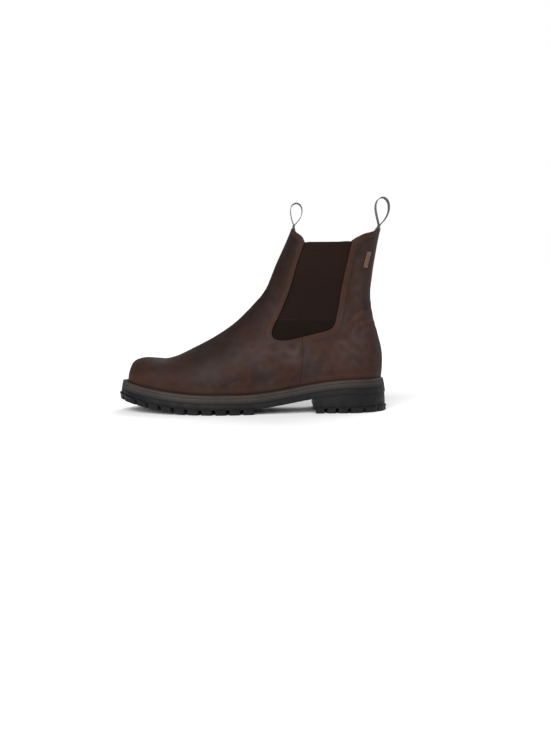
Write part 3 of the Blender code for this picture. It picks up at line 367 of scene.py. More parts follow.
class Grid:
    """Pattern grid of the upper. Columns run round the boot, rows from under the welt's edge to the collar.

    The columns' blocks are, on each side: ridge to gore, gore margin, gore front half, gore rear half,
    gore margin, gore to back. The rows' blocks are: welt to gore, gore margin, gore to collar, above one
    row that reaches down behind the welt.
    """

    COLUMNS = ((56, from_ridge), (9, to_end), (22, to_end), (22, to_start), (9, to_start), (44, to_back))
    ROWS = ((56, even), (7, to_end), (60, to_end))
    SKIRT = 2.4

    def __init__(self):
        self.lines()
        side_view = self.side_view()
        sides = [self.side(side_view, side) for side in (OUTER, INNER)]
        self.half = sides[0].shape[1] - 1
        points = np.concatenate([sides[0], sides[1][:, -2:0:-1]], axis=1)
        skirt = points[:1] - (0, 0, self.SKIRT)
        self.points = np.concatenate([skirt, points])
        self.count = self.points.shape[1]
        self.stops = np.cumsum([0] + [many for many, _ in self.COLUMNS])
        self.levels = np.cumsum([0, 1] + [many for many, _ in self.ROWS])
        self.normals = self.find_normals()

    def lines(self):
        """The pattern's lines in the side view, as polylines between their crossings."""
        feather_x = [RIDGE[0][0], *FEATHER_STOPS, BACK[0][0]]
        gore_front = spline(GORE_FRONT, 60, before=GORE_BOTTOM_FRONT[1])
        gore_rear = spline(GORE_REAR, 60, before=GORE_BOTTOM_REAR[-2])
        margin_front = gore_front + (-GORE_MARGIN, -MARGIN_DROP)
        margin_rear = gore_rear + (GORE_MARGIN, -MARGIN_DROP)
        margin_front[-1], margin_rear[-1] = COLLAR_FRONT[-1], COLLAR_REAR[0]
        drop = np.array((0, -GORE_MARGIN))
        ridge_cut = [int(np.argmin(np.abs(RIDGE_LINE[:, 0] - x))) for x in RIDGE_CUTS]
        back_cut = [int(np.argmin(np.abs(BACK_LINE[:, 1] - z))) for z in BACK_CUTS]
        crossings = [margin_front[0], gore_front[0], np.array(GORE_BOTTOM_REAR[0]), gore_rear[0],
                     margin_rear[0]]
        level = [[RIDGE_LINE[ridge_cut[k]], *(p + shift for p in crossings), BACK_LINE[back_cut[k]]]
                 for k, shift in enumerate((drop, 0 * drop))]
        feather = [np.array((x, feather_z(x))) for x in feather_x]
        welt = [np.linspace(a, b, 40) for a, b in zip(feather_x, feather_x[1:])]
        bottoms = {2: spline(GORE_BOTTOM_FRONT, 30, before=GORE_FRONT[1], after=GORE_BOTTOM_REAR[1]),
                   3: spline(GORE_BOTTOM_REAR, 30, before=GORE_BOTTOM_FRONT[-2], after=GORE_REAR[1])}
        self.across = [[np.stack([xs, feather_z(xs)], axis=1) for xs in welt]]
        for places, shift in zip(level, (drop, 0 * drop)):
            self.across.append([bottoms[k] + shift if k in bottoms else np.array(places[k: k + 2])
                                for k in range(6)])
        middle = np.array(((GORE_FRONT[-1][0] + GORE_REAR[-1][0]) / 2, GORE_TOP_Z))
        corners = [COLLAR_FRONT[-1], GORE_FRONT[-1], middle, GORE_REAR[-1], COLLAR_REAR[0]]
        tops = [np.array([a, b], float) for a, b in zip(corners, corners[1:])]
        self.across.append([spline(COLLAR_FRONT, 30), *tops, spline(COLLAR_REAR, 30)])
        seam = spline([(SIDE_SEAM[0][0], feather[3][1])] + SIDE_SEAM[1:], 30)
        lower = {0: RIDGE_LINE[: ridge_cut[0] + 1], 3: seam, 6: BACK_LINE[: back_cut[0] + 1]}
        between = {0: RIDGE_LINE[ridge_cut[0]: ridge_cut[1] + 1], 6: BACK_LINE[back_cut[0]: back_cut[1] + 1]}
        upper = [RIDGE_LINE[ridge_cut[1]:], margin_front, gore_front,
                 np.array([GORE_BOTTOM_REAR[0], middle]), gore_rear, margin_rear, BACK_LINE[back_cut[1]:]]
        self.up = [[lower.get(k, np.array([feather[k], level[0][k]])) for k in range(7)],
                   [between.get(k, np.array([level[0][k], level[1][k]])) for k in range(7)], upper]

    def side_view(self):
        """Side-view places of one side's grid points."""
        rows = []
        for r, (many_rows, row_spacing) in enumerate(self.ROWS):
            vs = row_spacing(np.linspace(0, 1, many_rows + 1))
            strip = []
            for c, (many_columns, column_spacing) in enumerate(self.COLUMNS):
                us = column_spacing(np.linspace(0, 1, many_columns + 1))
                left, at_toe = self.up[r][c], r == 0 and c == 0
                if at_toe:
                    left = resample(left, np.linspace(0, 1, 400) ** 1.5)
                bottom, top, right = self.across[r][c], self.across[r + 1][c], self.up[r][c + 1]
                patch = coons(bottom, top, left, right, us, vs, at_toe)
                strip.append(patch if c == 0 else patch[:, 1:])
            rows.append(np.concatenate(strip, axis=1)[0 if r == 0 else 1:])
        return np.concatenate(rows, axis=0)

    def side(self, places, side):
        """One side's points in space, its half widths smoothed."""
        x, z = places[..., 0], places[..., 1]
        w = half_width(side, x, z)
        w[:, 0] = w[:, -1] = 0
        steps = [np.linalg.norm(np.diff(places, axis=axis), axis=-1) + 1e-6 for axis in (0, 1)]
        for _ in range(SMOOTHING_ROUNDS):
            down, across = steps[0][:, 1:-1], steps[1][1:-1]
            upright = (w[:-2, 1:-1] * down[1:] + w[2:, 1:-1] * down[:-1]) / (down[1:] + down[:-1])
            level = w[1:-1, :-2] * across[:, 1:] + w[1:-1, 2:] * across[:, :-1]
            level /= across[:, 1:] + across[:, :-1]
            w[1:-1, 1:-1] = 0.5 * w[1:-1, 1:-1] + 0.25 * (upright + level)
        return np.stack([x, side * w, z], axis=-1)

    def find_normals(self):
        along = np.roll(self.points, -1, axis=1) - np.roll(self.points, 1, axis=1)
        n = np.cross(along, np.gradient(self.points, axis=0))
        n[:2, :, 2] = 0
        return unit(n)

    def cells(self, lines, levels, sides=(OUTER, INNER)):
        """Mask of the cells between two column lines and two row levels."""
        mask = np.zeros((len(self.points) - 1, self.count), bool)
        a, b = self.stops[list(lines)]
        rows = slice(*self.levels[list(levels)])
        if OUTER in sides:
            mask[rows, a:b] = True
        if INNER in sides:
            mask[rows, self.count - b: self.count - a] = True
        return mask


def fold_point(front):
    """Side-view place of the line that a pull loop folds about."""
    x = RIDGE_LINE[-1][0] + LOOP_INWARD if front else BACK_LINE[-1][0] - LOOP_INWARD
    return np.array([x, PEAK_Z + LOOP_RISE])


JOINTS = {joint["name"]: joint for joint in frame["joints"]}
SHIFT = np.array(JOINTS["front_pull_fold"]["pos_m"]) / MM - (fold_point(True)[0], 0, fold_point(True)[1])


def place(points):
    """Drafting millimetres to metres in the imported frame."""
    return (np.asarray(points, float) + SHIFT) * MM


# ---- creases and softness of the leather
# Each crease: x, z, angle in the side view, half length, half width, depth.
CREASES = {
    OUTER: [(118, 113, 30, 13, 2.4, 1.2), (122, 103, 24, 12, 2.4, 1.0), (119, 122, 34, 11, 2.0, 0.5),
            (126, 95, 20, 11, 2.6, 0.4), (18, 126, -38, 13, 2.6, 0.55), (8, 113, -33, 15, 3.0, 0.5),
            (29, 141, -30, 9, 2.4, 0.35), (-6, 96, -30, 14, 3.4, 0.35), (100, 82, 24, 14, 4.0, 0.3)],
    INNER: [(114, 110, 30, 14, 2.4, 0.7), (119, 100, 24, 13, 2.2, 0.5), (122, 119, 36, 11, 2.0, 0.45),
            (16, 124, -36, 14, 2.6, 0.6), (5, 110, -32, 14, 3.0, 0.5), (27, 139, -28, 9, 2.4, 0.35)],
}
CREASE_BOW = 0.02        # how much a crease bends along its length
BANK_PLACE, BANK_RISE = 2.1, 0.55    # the banks beside it: how many half widths off, and share of its depth
FULL_CREASE = 0.75       # depth from which the leather beside a crease is fully rubbed
UNEVENNESS = 0.35        # height of the leather's broad swells
SWELL, SWELL_SEED = 26.0, 3.0        # and their size


def crease_fields(points):
    """How deep the creases cut at each point, and how near it is to one, from 0 to 1."""
    depth, near = np.zeros(points.shape[:-1]), np.zeros(points.shape[:-1])
    rows = [(side, *row) for side in CREASES for row in CREASES[side]]
    for side, x, z, angle, length, width, cut_depth in rows:
        c, s = math.cos(math.radians(angle)), math.sin(math.radians(angle))
        dx, dz = points[..., 0] - x, points[..., 2] - z
        along = dx * c + dz * s
        off = dz * c - dx * s + CREASE_BOW * along ** 2
        here = hump(along, length) * (points[..., 1] * side > 0)
        banks = BANK_RISE * hump(np.abs(off) - BANK_PLACE * width, width)
        depth += cut_depth * here * (hump(off, width) - banks)
        near = np.maximum(near, here * hump(off + width, 1.6 * width) * cut_depth / FULL_CREASE)
    return depth, near


def swells(points, size, seed):
    flat = points.reshape(-1, 3)
    found = [noise.noise(Vector(p) / size + Vector((seed, 0, 0))) for p in flat]
    return np.array(found).reshape(points.shape[:-1])


GRID = Grid()
CREASE_DEPTH, CREASE_NEAR = crease_fields(GRID.points)
# No swell and no crease right at the welt.
STANDS_FREE = fade(GRID.points[..., 2] - feather_z(GRID.points[..., 0]), 0.0, 16.0)
LEATHER_SINK = (CREASE_DEPTH - UNEVENNESS * swells(GRID.points, SWELL, SWELL_SEED)) * STANDS_FREE


# ---- making objects
LOOKS = {}


def add_object(name, data):
    """A new object in the scene."""
    made = bpy.data.objects.new(name, data)
    bpy.context.scene.collection.objects.link(made)
    return made


def finish(made, slot, body="boot", nodes=(), smooth=40.0):
    """Shades a made object, gives it its slot's look and ties it to the frame."""
    made.data.materials.append(LOOKS[slot])
    made.data.shade_smooth()
    made.data.set_sharp_from_angle(angle=math.radians(smooth))
    if body:
        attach(made, body)
    if nodes:
        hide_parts(*nodes)
    return made


def new_object(name, points, faces, values=None):
    """A mesh object from drafting points. values are {attribute: one number or three for each point}."""
    mesh = bpy.data.meshes.new(name)
    mesh.from_pydata(place(points).tolist(), [], [list(f) for f in faces])
    for key, data in (values or {}).items():
        data = np.asarray(data, np.float32)
        kind, field = ("FLOAT", "value") if data.ndim == 1 else ("FLOAT_VECTOR", "vector")
        mesh.attributes.new(key, kind, "POINT").data.foreach_set(field, data.reshape(-1))
    return add_object(name, mesh)


def loft(rings, closed=False):
    """Faces that join rings of equally many points, with flat ends unless the rings come back round."""
    many, count = len(rings[0]), len(rings)
    here = np.arange(many)
    beyond = (here + 1) % many
    faces = []
    for k in range(count if closed else count - 1):
        a, b = k * many, ((k + 1) % count) * many
        faces += np.stack([a + here, a + beyond, b + beyond, b + here], axis=1).tolist()
    if not closed:
        faces += [here[::-1].tolist(), (here + (count - 1) * many).tolist()]
    return faces


def solid(rings, closed=False):
    """Points and faces of a part lofted through rings."""
    return np.concatenate(rings), loft(rings, closed)


def ring_object(name, rings, closed=False, values=None):
    """As new_object(), from rings of points. values are given ring by ring."""
    made = new_object(name, *solid(rings, closed), values)
    face_outwards(made)
    return made


@contextmanager
def editing(mesh):
    """A bmesh of this mesh, written back at the end."""
    work = bmesh.new()
    work.from_mesh(mesh)
    yield work
    work.to_mesh(mesh)
    work.free()


def face_outwards(made):
    with editing(made.data) as work:
        bmesh.ops.recalc_face_normals(work, faces=work.faces)


def joined(name, parts):
    """One object from several (points, faces) parts."""
    points, faces, first = [], [], 0
    for part_points, part_faces in parts:
        points.append(np.asarray(part_points, float))
        faces += [[i + first for i in f] for f in part_faces]
        first += len(part_points)
    made = new_object(name, np.concatenate(points), faces)
    face_outwards(made)
    return made


def at_height(outline, z):
    return np.column_stack([outline, np.broadcast_to(z, len(outline))])


def lifted(outline, z):
    return at_height(outline, z + lift(outline[:, 0]))


# ---- sheets of the upper
EDGE_SAMPLES = 0.3
EDGE_REACH = 25.0        # an 'edge' value never says more than this


class Sheet:
    """The grid points of one piece of the upper, its cells and its open edges."""

    def __init__(self, cells):
        count = GRID.count
        r, c = np.nonzero(cells)
        beyond = (c + 1) % count
        low, high = r * count, (r + 1) * count
        quads = np.stack([low + c, low + beyond, high + beyond, high + c], axis=1)
        self.used, index = np.unique(quads, return_inverse=True)
        self.quads = index.reshape(-1, 4)
        self.size = len(self.used)
        edges = np.concatenate([self.quads[:, [k, (k + 1) % 4]] for k in range(4)])
        there = edges[:, 0] * self.size + edges[:, 1]
        back = edges[:, 1] * self.size + edges[:, 0]
        self.rim = edges[~np.isin(there, back)]
        self.points = self.pick(GRID.points)
        self.normals = self.pick(GRID.normals)
        self.edge = self.edge_distance()

    def pick(self, field):
        return field.reshape(-1, *field.shape[2:])[self.used]

    def edge_distance(self):
        """How far each point lies from the sheet's free edges. The edge under the welt isn't free."""
        hidden = self.used < GRID.count
        free = self.rim[~(hidden[self.rim[:, 0]] | hidden[self.rim[:, 1]])]
        samples = []
        for a, b in zip(self.points[free[:, 0]], self.points[free[:, 1]]):
            share = np.linspace(0, 1, 2 + int(np.linalg.norm(b - a) / EDGE_SAMPLES))[:, None]
            samples.append(a + (b - a) * share)
        samples = np.concatenate(samples)
        tree = KDTree(len(samples))
        for k, p in enumerate(samples):
            tree.insert(p, k)
        tree.balance()
        return np.array([min(tree.find(p)[2], EDGE_REACH) for p in self.points])

    def trimmed(self, trim):
        """The points, with those on the rim moved into the sheet."""
        pull = np.zeros_like(self.points)
        centres = self.points[self.quads].mean(axis=1)
        for k in range(4):
            np.add.at(pull, self.quads[:, k], centres - self.points[self.quads[:, k]])
        on_rim = np.unique(self.rim)
        moved = self.points.copy()
        moved[on_rim] += unit(pull[on_rim]) * trim
        return moved

    def make(self, name, depth, thick, outer_round, inner_round, trim=0.1, values=None):
        """A closed sheet with rounded edges, its outer face at a depth below the upper's surface."""
        base = self.trimmed(trim)
        top = depth + edge_dip(self.edge, outer_round)
        bottom = depth + thick - edge_dip(self.edge, inner_round)
        outside = base - self.normals * np.broadcast_to(top, self.size)[:, None]
        inside = base - self.normals * np.broadcast_to(bottom, self.size)[:, None]
        a, b = self.rim[:, 0], self.rim[:, 1]
        faces = np.concatenate([self.quads, self.quads[:, ::-1] + self.size,
                                np.stack([b, a, a + self.size, b + self.size], axis=1)])
        fields = {"edge": self.edge, **(values or {})}
        both = {key: np.concatenate([v, v]) for key, v in fields.items()}
        return new_object(name, np.concatenate([outside, inside]), faces, both)


def edge_dip(edge, radius):
    """How far a rounded edge falls away at a distance from it."""
    t = np.clip(edge / radius, 0, 1)
    return radius * (1 - np.sqrt(1 - (1 - t) ** 2))


# ---- node graphs
class Graph:
    """Builds one material's nodes."""

    def __init__(self, slot, roughness, metallic=0.0, **constant):
        self.look = bpy.data.materials.new(slot + "_look")
        self.look.use_nodes = True
        self.tree = self.look.node_tree
        self.shader = self.tree.nodes["Principled BSDF"]
        self.shader.inputs["Roughness"].default_value = roughness
        self.shader.inputs["Metallic"].default_value = metallic
        for key, value in constant.items():
            self.shader.inputs[key.replace("_", " ")].default_value = value
        self.space = self.add("ShaderNodeTexCoord").outputs["Object"]
        LOOKS[slot] = self.look

    def add(self, kind, inputs=(), **settings):
        node = self.tree.nodes.new(kind)
        for key, value in settings.items():
            setattr(node, key, value)
        for key, value in dict(inputs).items():
            if isinstance(value, bpy.types.NodeSocket):
                self.tree.links.new(value, node.inputs[key])
            else:
                node.inputs[key].default_value = value
        return node

    def noise(self, size, detail=3.0, roughness=0.55, distortion=0.0, stretch=None):
        """Noise whose features are about this many millimetres across."""
        space = self.space
        if stretch:
            space = self.add("ShaderNodeMapping", {"Vector": space, "Scale": stretch}).outputs[0]
        return self.add("ShaderNodeTexNoise", {"Vector": space, "Scale": 1 / (size * MM), "Detail": detail,
                                               "Roughness": roughness, "Distortion": distortion}).outputs[0]

    def cells(self, size, feature="F1"):
        return self.add("ShaderNodeTexVoronoi", {"Vector": self.space, "Scale": 1 / (size * MM)},
                        feature=feature).outputs["Distance"]

    def value(self, name):
        return self.add("ShaderNodeAttribute", attribute_name=name).outputs["Fac"]

    def vector(self, name):
        return self.add("ShaderNodeAttribute", attribute_name=name).outputs["Vector"]

    def between(self, value, low, high, to_low=0.0, to_high=1.0):
        """value from low..high to to_low..to_high, smooth and clamped."""
        return self.add("ShaderNodeMapRange", {"Value": value, "From Min": low, "From Max": high,
                                               "To Min": to_low, "To Max": to_high},
                        interpolation_type="SMOOTHSTEP").outputs[0]

    def product(self, a, b):
        return self.add("ShaderNodeMath", {0: a, 1: b}, operation="MULTIPLY").outputs[0]

    def bands(self, space, direction, scale, **inputs):
        """Even bands across a direction of a space, 0 to 1."""
        inputs = {"Vector": space, "Scale": scale} | {key.replace("_", " "): v for key, v in inputs.items()}
        return self.add("ShaderNodeTexWave", inputs, bands_direction=direction).outputs["Fac"]

    def mix(self, share, a, b):
        """Colour a turning to b. a and b are sockets or sRGB 0-255 triples."""
        node = self.add("ShaderNodeMix", data_type="RGBA")
        for key, value in ((0, share), (6, a), (7, b)):
            if isinstance(value, bpy.types.NodeSocket):
                self.tree.links.new(value, node.inputs[key])
            else:
                node.inputs[key].default_value = value if key == 0 else linear(value)
        return node.outputs[2]

    def over(self, tone, field, low, high, colour, most=1.0, least=0.0):
        """The tone, turning to a colour as the field goes from low to high."""
        return self.mix(self.between(field, low, high, least, most), tone, colour)

    def bump(self, *layers):
        """Bumps laid on each other: (height socket, depth in millimetres)."""
        normal = None
        for height, depth in layers:
            inputs = {"Height": height, "Distance": depth * MM, "Strength": 1.0}
            if normal is not None:
                inputs["Normal"] = normal
            normal = self.add("ShaderNodeBump", inputs).outputs[0]
        self.tree.links.new(normal, self.shader.inputs["Normal"])

    def colour(self, socket):
        self.tree.links.new(socket, self.shader.inputs["Base Color"])

    def roughness(self, socket):
        self.tree.links.new(socket, self.shader.inputs["Roughness"])


def linear(rgb):
    """sRGB 0-255 to a linear RGBA colour."""
    c = np.array(rgb[:3], float) / 255
    c = np.where(c <= 0.04045, c / 12.92, ((c + 0.055) / 1.055) ** 2.4)
    return (*c.tolist(), 1.0)


def leather_look():
    """Dark-brown waxed nubuck: cloudy, warm where it is bent or pulled over an edge, with patches of dust
    that are partly a painted sheen, and darker places that are partly painted shade.
    """
    g = Graph("brown_leather", 0.6, Specular_IOR_Level=0.09, Sheen_Weight=0.01, Sheen_Roughness=0.45)
    g.shader.inputs["Sheen Tint"].default_value = linear((200, 185, 178))
    clouds = g.noise(34, 4, 0.6, 0.25)
    blotches = g.noise(13, 5, 0.65, 0.2)
    nap = g.noise(1.1, 4, 0.7)
    smears = g.noise(16, 5, 0.7, 0.2, stretch=(0.35, 1.0, 1.0))
    tone = g.over((49, 28, 21), clouds, 0.38, 0.62, (48, 37, 35))
    tone = g.over(tone, blotches, 0.42, 0.68, (29, 19, 16), most=0.7)
    tone = g.over(tone, smears, 0.52, 0.75, (60, 38, 29), most=0.5)
    # Of these tones, the dusty one is partly a painted sheen and the dark one partly painted shade.
    for key, uneven, low, high, least, most, colour in (("warm", smears, 0.25, 0.6, 0.35, 1.0, (64, 39, 29)),
                                                        ("dust_and_sheen", blotches, 0.2, 0.6, 0.5, 1.0, (64, 53, 50)),
                                                        ("dark", blotches, 0.3, 0.65, 1.0, 0.6, (15, 9, 8))):
        tone = g.mix(g.product(g.value(key), g.between(uneven, low, high, least, most)), tone, colour)
    g.colour(g.over(tone, nap, 0.35, 0.7, (66, 50, 43), most=0.15))
    g.roughness(g.between(blotches, 0.3, 0.7, 0.68, 0.5))
    g.bump((g.noise(4.5, 3, 0.5), 0.10), (g.cells(0.9), 0.05), (nap, 0.05))


def elastic_look():
    """Ribbed elastic: fine upright ribs with cross threads."""
    g = Graph("brown_elastic", 0.85, Specular_IOR_Level=0.1, Sheen_Weight=0.01, Sheen_Roughness=0.5)
    weave = g.vector("weave")
    ribs = g.bands(weave, "X", 0.30, Distortion=0.4, Detail=1.0, Detail_Scale=3.0)
    threads = g.bands(weave, "Z", 0.8)
    tone = g.over((19, 10, 8), ribs, 0.1, 0.9, (40, 22, 16))
    tone = g.over(tone, g.noise(22), 0.35, 0.7, (26, 17, 15), most=0.35)
    # Darker lower down the panel and below its row of stitches.
    g.colour(g.mix(g.value("under"), tone, (17, 9, 6)))
    g.bump((ribs, 0.22), (threads, 0.06), (g.noise(0.5, 2), 0.05))


def lining_look():
    """Undyed lining leather, a little polished by wear."""
    g = Graph("lining_leather", 0.7, Specular_IOR_Level=0.35)
    tone = g.over((168, 132, 96), g.noise(18, 4), 0.35, 0.7, (146, 110, 78))
    g.colour(g.over(tone, g.cells(1.3), 0.1, 0.5, (120, 88, 60), most=0, least=0.25))
    g.roughness(g.between(g.noise(9), 0.3, 0.7, 0.75, 0.55))
    g.bump((g.cells(1.1), 0.06), (g.noise(6), 0.12))


def webbing_look():
    """Black woven tape: a twill of fine raised yarns."""
    g = Graph("black_webbing", 0.7, Specular_IOR_Level=0.3, Sheen_Weight=0.08, Sheen_Roughness=0.4)
    weave = g.vector("weave")
    twill = g.bands(weave, "DIAGONAL", 0.33)
    picks = g.bands(weave, "Y", 0.28)
    tone = g.over((62, 62, 65), twill, 0.2, 0.9, (88, 88, 92))
    g.colour(g.over(tone, g.noise(3), 0.4, 0.7, (98, 98, 100), most=0.3))
    g.bump((twill, 0.18), (picks, 0.10), (g.noise(0.4, 2), 0.05))


def rubber_look():
    """Moulded black rubber, matt, with grey patches and fine speckle, and painted shade that blackens the
    toe.
    """
    g = Graph("black_rubber", 0.62, Specular_IOR_Level=0.2)
    speckle = g.noise(0.9, 3, 0.7)
    forward = g.add("ShaderNodeSeparateXYZ", {"Vector": g.space}).outputs["X"]
    tone = g.over((12, 12, 13), g.noise(12, 4, 0.6), 0.35, 0.7, (21, 20, 21))
    tone = g.over(tone, speckle, 0.56, 0.75, (38, 37, 38), most=0.5)
    tone = g.over(tone, speckle, 0.42, 0.3, (8, 8, 9), most=0.5)
    # Painted shade: the toe end turned near black.
    g.colour(g.over(tone, forward, -0.110, -0.138, (4, 4, 5), most=0.9))
    g.roughness(g.between(g.noise(7), 0.3, 0.7, 0.7, 0.5))
    g.bump((g.noise(1.2, 4, 0.7), 0.07), (speckle, 0.03))


def grey_rubber_look():
    """The sole's brownish-grey side, darker towards the ground, with a brown line in the welt."""
    g = Graph("grey_rubber", 0.65, Specular_IOR_Level=0.18)
    tone = g.over((53, 48, 44), g.noise(26, 4, 0.6, 0.5), 0.35, 0.68, (44, 41, 38))
    tone = g.over(tone, g.noise(1.6, 4, 0.7), 0.5, 0.75, (66, 61, 56), most=0.35)
    tone = g.mix(g.value("low"), tone, (24, 23, 24))
    g.colour(g.mix(g.value("rand"), tone, (58, 36, 26)))
    g.bump((g.noise(2.5, 4, 0.6), 0.06), (g.noise(0.6, 2), 0.03))


def footbed_look():
    """Leather-covered cushioned footbed."""
    g = Graph("footbed_cover", 0.75, Specular_IOR_Level=0.3, Sheen_Weight=0.1)
    tone = g.over((132, 100, 74), g.noise(20, 4), 0.35, 0.7, (112, 82, 60))
    g.colour(g.over(tone, g.cells(0.8), 0.1, 0.5, (84, 60, 44), most=0, least=0.3))
    g.bump((g.cells(0.8), 0.07), (g.noise(5), 0.1))


def tag_look():
    """The tag's smooth tan leather."""
    g = Graph("tan_tag", 0.65, Specular_IOR_Level=0.35)
    tone = g.over((94, 75, 55), g.noise(2.5, 4), 0.35, 0.7, (78, 60, 43))
    g.colour(g.over(tone, g.noise(0.5, 2), 0.5, 0.7, (62, 47, 33), most=0.3))
    g.bump((g.cells(0.5), 0.05), (g.noise(1.5), 0.05))


def thread_looks():
    for slot, light, dark in (("thread_brown", (56, 38, 30), (36, 25, 21)),
                              ("thread_dark", (36, 26, 22), (22, 16, 14)),
                              ("thread_tan", (150, 118, 82), (110, 82, 56))):
        g = Graph(slot, 0.75, Specular_IOR_Level=0.2, Sheen_Weight=0.03)
        strands = g.bands(g.space, "DIAGONAL", 1 / (2.4 * MM), Distortion=1.5)
        g.colour(g.mix(strands, dark, light))
        g.bump((strands, 0.06))


def inner_looks():
    """Pieces that are closed in: board, stiffeners, steel and cork."""
    for slot, light, dark, rough, metal in (("insole_board", (176, 150, 118), (138, 112, 82), 0.9, 0),
                                            ("stiffener", (196, 190, 172), (168, 160, 142), 0.8, 0),
                                            ("steel", (190, 190, 194), (140, 138, 138), 0.4, 1)):
        g = Graph(slot, rough, metal)
        grain = g.noise(0.8, 4, 0.7, stretch=(0.2, 1, 1))
        g.colour(g.over(light, grain, 0.3, 0.7, dark))
        g.bump((grain, 0.04))
    g = Graph("cork", 0.95)
    crumbs = g.cells(1.8)
    g.colour(g.over((186, 142, 92), crumbs, 0.1, 0.6, (112, 76, 44)))
    g.bump((crumbs, 0.3))


# ---- upper, lining and stiffeners
# Places of dust, partly a painted sheen, and dark places on the leather: x, z, half width, half height,
# strength.
DUST_AND_SHEEN_SPOTS = [(46, 66, 9, 13, 0.6), (15, 68, 48, 16, 0.55), (112, 80, 24, 24, 0.6), (117, 148, 7, 22, 0.65),
          (24, 140, 6, 14, 0.3), (-52, 50, 22, 10, 0.4), (70, 52, 12, 14, 0.2), (-20, 84, 14, 8, 0.3)]
DARKS = [(42, 160, 11, 34, 0.75), (34, 118, 12, 16, 0.7), (104, 150, 5, 28, 0.3), (134, 150, 7, 40, 0.55),
         (128, 118, 8, 5, 0.5), (28, 150, 10, 30, 0.3), (-120, 34, 14, 7, 0.5), (56, 44, 16, 9, 0.4)]
PATCH, PATCH_SEED = 14.0, 7.0        # size of the patches that break all of this up
SHOWS_SEAMS = (76.0, 84.0)           # heights over which the leather's edges begin to show as seams
SEAM_BAND = (8.0, 3.5)               # the warm band beside a seam: distances where it ends and is full
SEAM_LINE = (7.6, 1.3)               # the dark line beyond that band: its distance and half width


def spots(places, x, z):
    """Sum of soft spots at points of the side view."""
    total = np.zeros(len(x))
    for spot_x, spot_z, wide, tall, strength in places:
        total += strength * np.exp(-((x - spot_x) / wide) ** 2 - ((z - spot_z) / tall) ** 2)
    return total


def sheet_values(sheet):
    """Where the leather is warm, dark or dusty: by its edges, its creases and the way it was waxed, with a
    painted sheen in the dust and painted shade along the top and where it meets the welt.
    """
    x, z = sheet.points[:, 0], sheet.points[:, 2]
    high = z - feather_z(x)
    below_ridge = distance_to(TOP_LINE, x, z)[0]
    patchy = swells(sheet.points, PATCH, PATCH_SEED)
    seams = fade(z, *SHOWS_SEAMS)
    by_seam = fade(sheet.edge, *SEAM_BAND) * seams
    toe, creased = fade(x, -96, -122), sheet.pick(CREASE_NEAR)
    behind_toe, beyond_toe = fade(x, -95, -50), fade(x, -80, -40)
    warm = [
        0.36 * by_seam + 0.22 * np.exp(-sheet.edge),       # seams and cut edges
        0.55 * toe * fade(patchy, -0.05, 0.4),             # the toe, in patches
        0.8 * creased * fade(patchy, -0.4, 0.2),           # beside the creases
        0.4 * hump(high - 5.0, 3.5),                       # a band above the welt
    ]
    dark = [
        0.95 * hump(below_ridge, 25) * (0.35 + 0.65 * behind_toe) * fade(z, 208, 196),     # along the ridge: darker leather, partly painted shade on the top
        0.95 * hump(high, 2.3),                            # painted shade where it meets the welt
        0.45 * fade(patchy, 0.1, 0.55) * beyond_toe,       # patches all over but the toe
        spots(DARKS, x, z) * fade(patchy, 0.9, -0.3),
    ]
    seam_line = 0.5 * hump(sheet.edge - SEAM_LINE[0], SEAM_LINE[1]) * seams
    dark = np.maximum(np.max(dark, axis=0) * (1 - 0.6 * by_seam), seam_line)
    # Dust in patches, partly a painted sheen.
    dust_and_sheen = spots(DUST_AND_SHEEN_SPOTS, x, z) * fade(patchy, -0.7, 0.1) * (1 - by_seam)
    fields = {"warm": np.max(warm, axis=0), "dark": dark, "dust_and_sheen": dust_and_sheen}
    return {key: np.clip(field, 0, 1) for key, field in fields.items()}


def tab_room(points):
    """How much deeper the lining lies where the webbing's sewn ends are behind the leather."""
    across = fade(np.abs(points[..., 1]), 19.0, LOOP_WIDTH / 2 + 0.5)
    return (2 * WEBBING + GAP) * across * fade(points[..., 2], PEAK_Z - 27, PEAK_Z - 17)


def stiffener_room(points):
    """How much deeper the lining lies behind the toe puff and the heel counter."""
    x, z = points[..., 0], points[..., 2]
    toe = fade(x, -62, -78)
    heel = fade(x, 68, 84) * fade(z, 98, 84)
    return (STIFFENER + GAP) * np.maximum(toe, heel)


ROUNDER_ABOVE = 80.0     # height from which the leather's edges are rounder
LINING_BELOW = 2.6       # how far the lining stops below the collar's edge
LINING_DIP = 2.4         # and how much lower still where it passes the webbing
GORE_TUCK = 2.4          # how far the elastic behind the leather stops below the collar's edge
EASE = 14.0              # height over which the grid's rows draw together for these


def make_leather(name, cells, node):
    """A piece of the upper. Its edges are rounder along the elastic and the collar than lower down."""
    sheet = Sheet(cells)
    radius = np.where(sheet.points[:, 2] > ROUNDER_ABOVE, 0.9, 0.45)
    sink = sheet.pick(LEATHER_SINK)
    made = sheet.make(name, sink, LEATHER, radius, 0.4, trim=0.05, values=sheet_values(sheet))
    return finish(made, "brown_leather", nodes=(node,))


def lowered(sheet, drop):
    """The sheet's points with its top edge lowered by a distance."""
    below_collar = GRID.points[-1, sheet.used % GRID.count, 2] - sheet.points[:, 2]
    down = drop * np.clip(1 - below_collar / EASE, 0, 1)
    return sheet.points - np.stack([0 * down, 0 * down, down], axis=1)


def make_lining(name, cells, node):
    """A piece of the lining, behind whatever lies between it and the leather."""
    sheet = Sheet(cells)
    depth = LEATHER + GAP + tab_room(sheet.points) + stiffener_room(sheet.points)
    sheet.points = lowered(sheet, LINING_BELOW + LINING_DIP * fade(np.abs(sheet.points[:, 1]), 20.0, 10.0))
    return finish(sheet.make(name, depth, LINING, 0.35, 0.45, trim=0.5), "lining_leather", nodes=(node,))


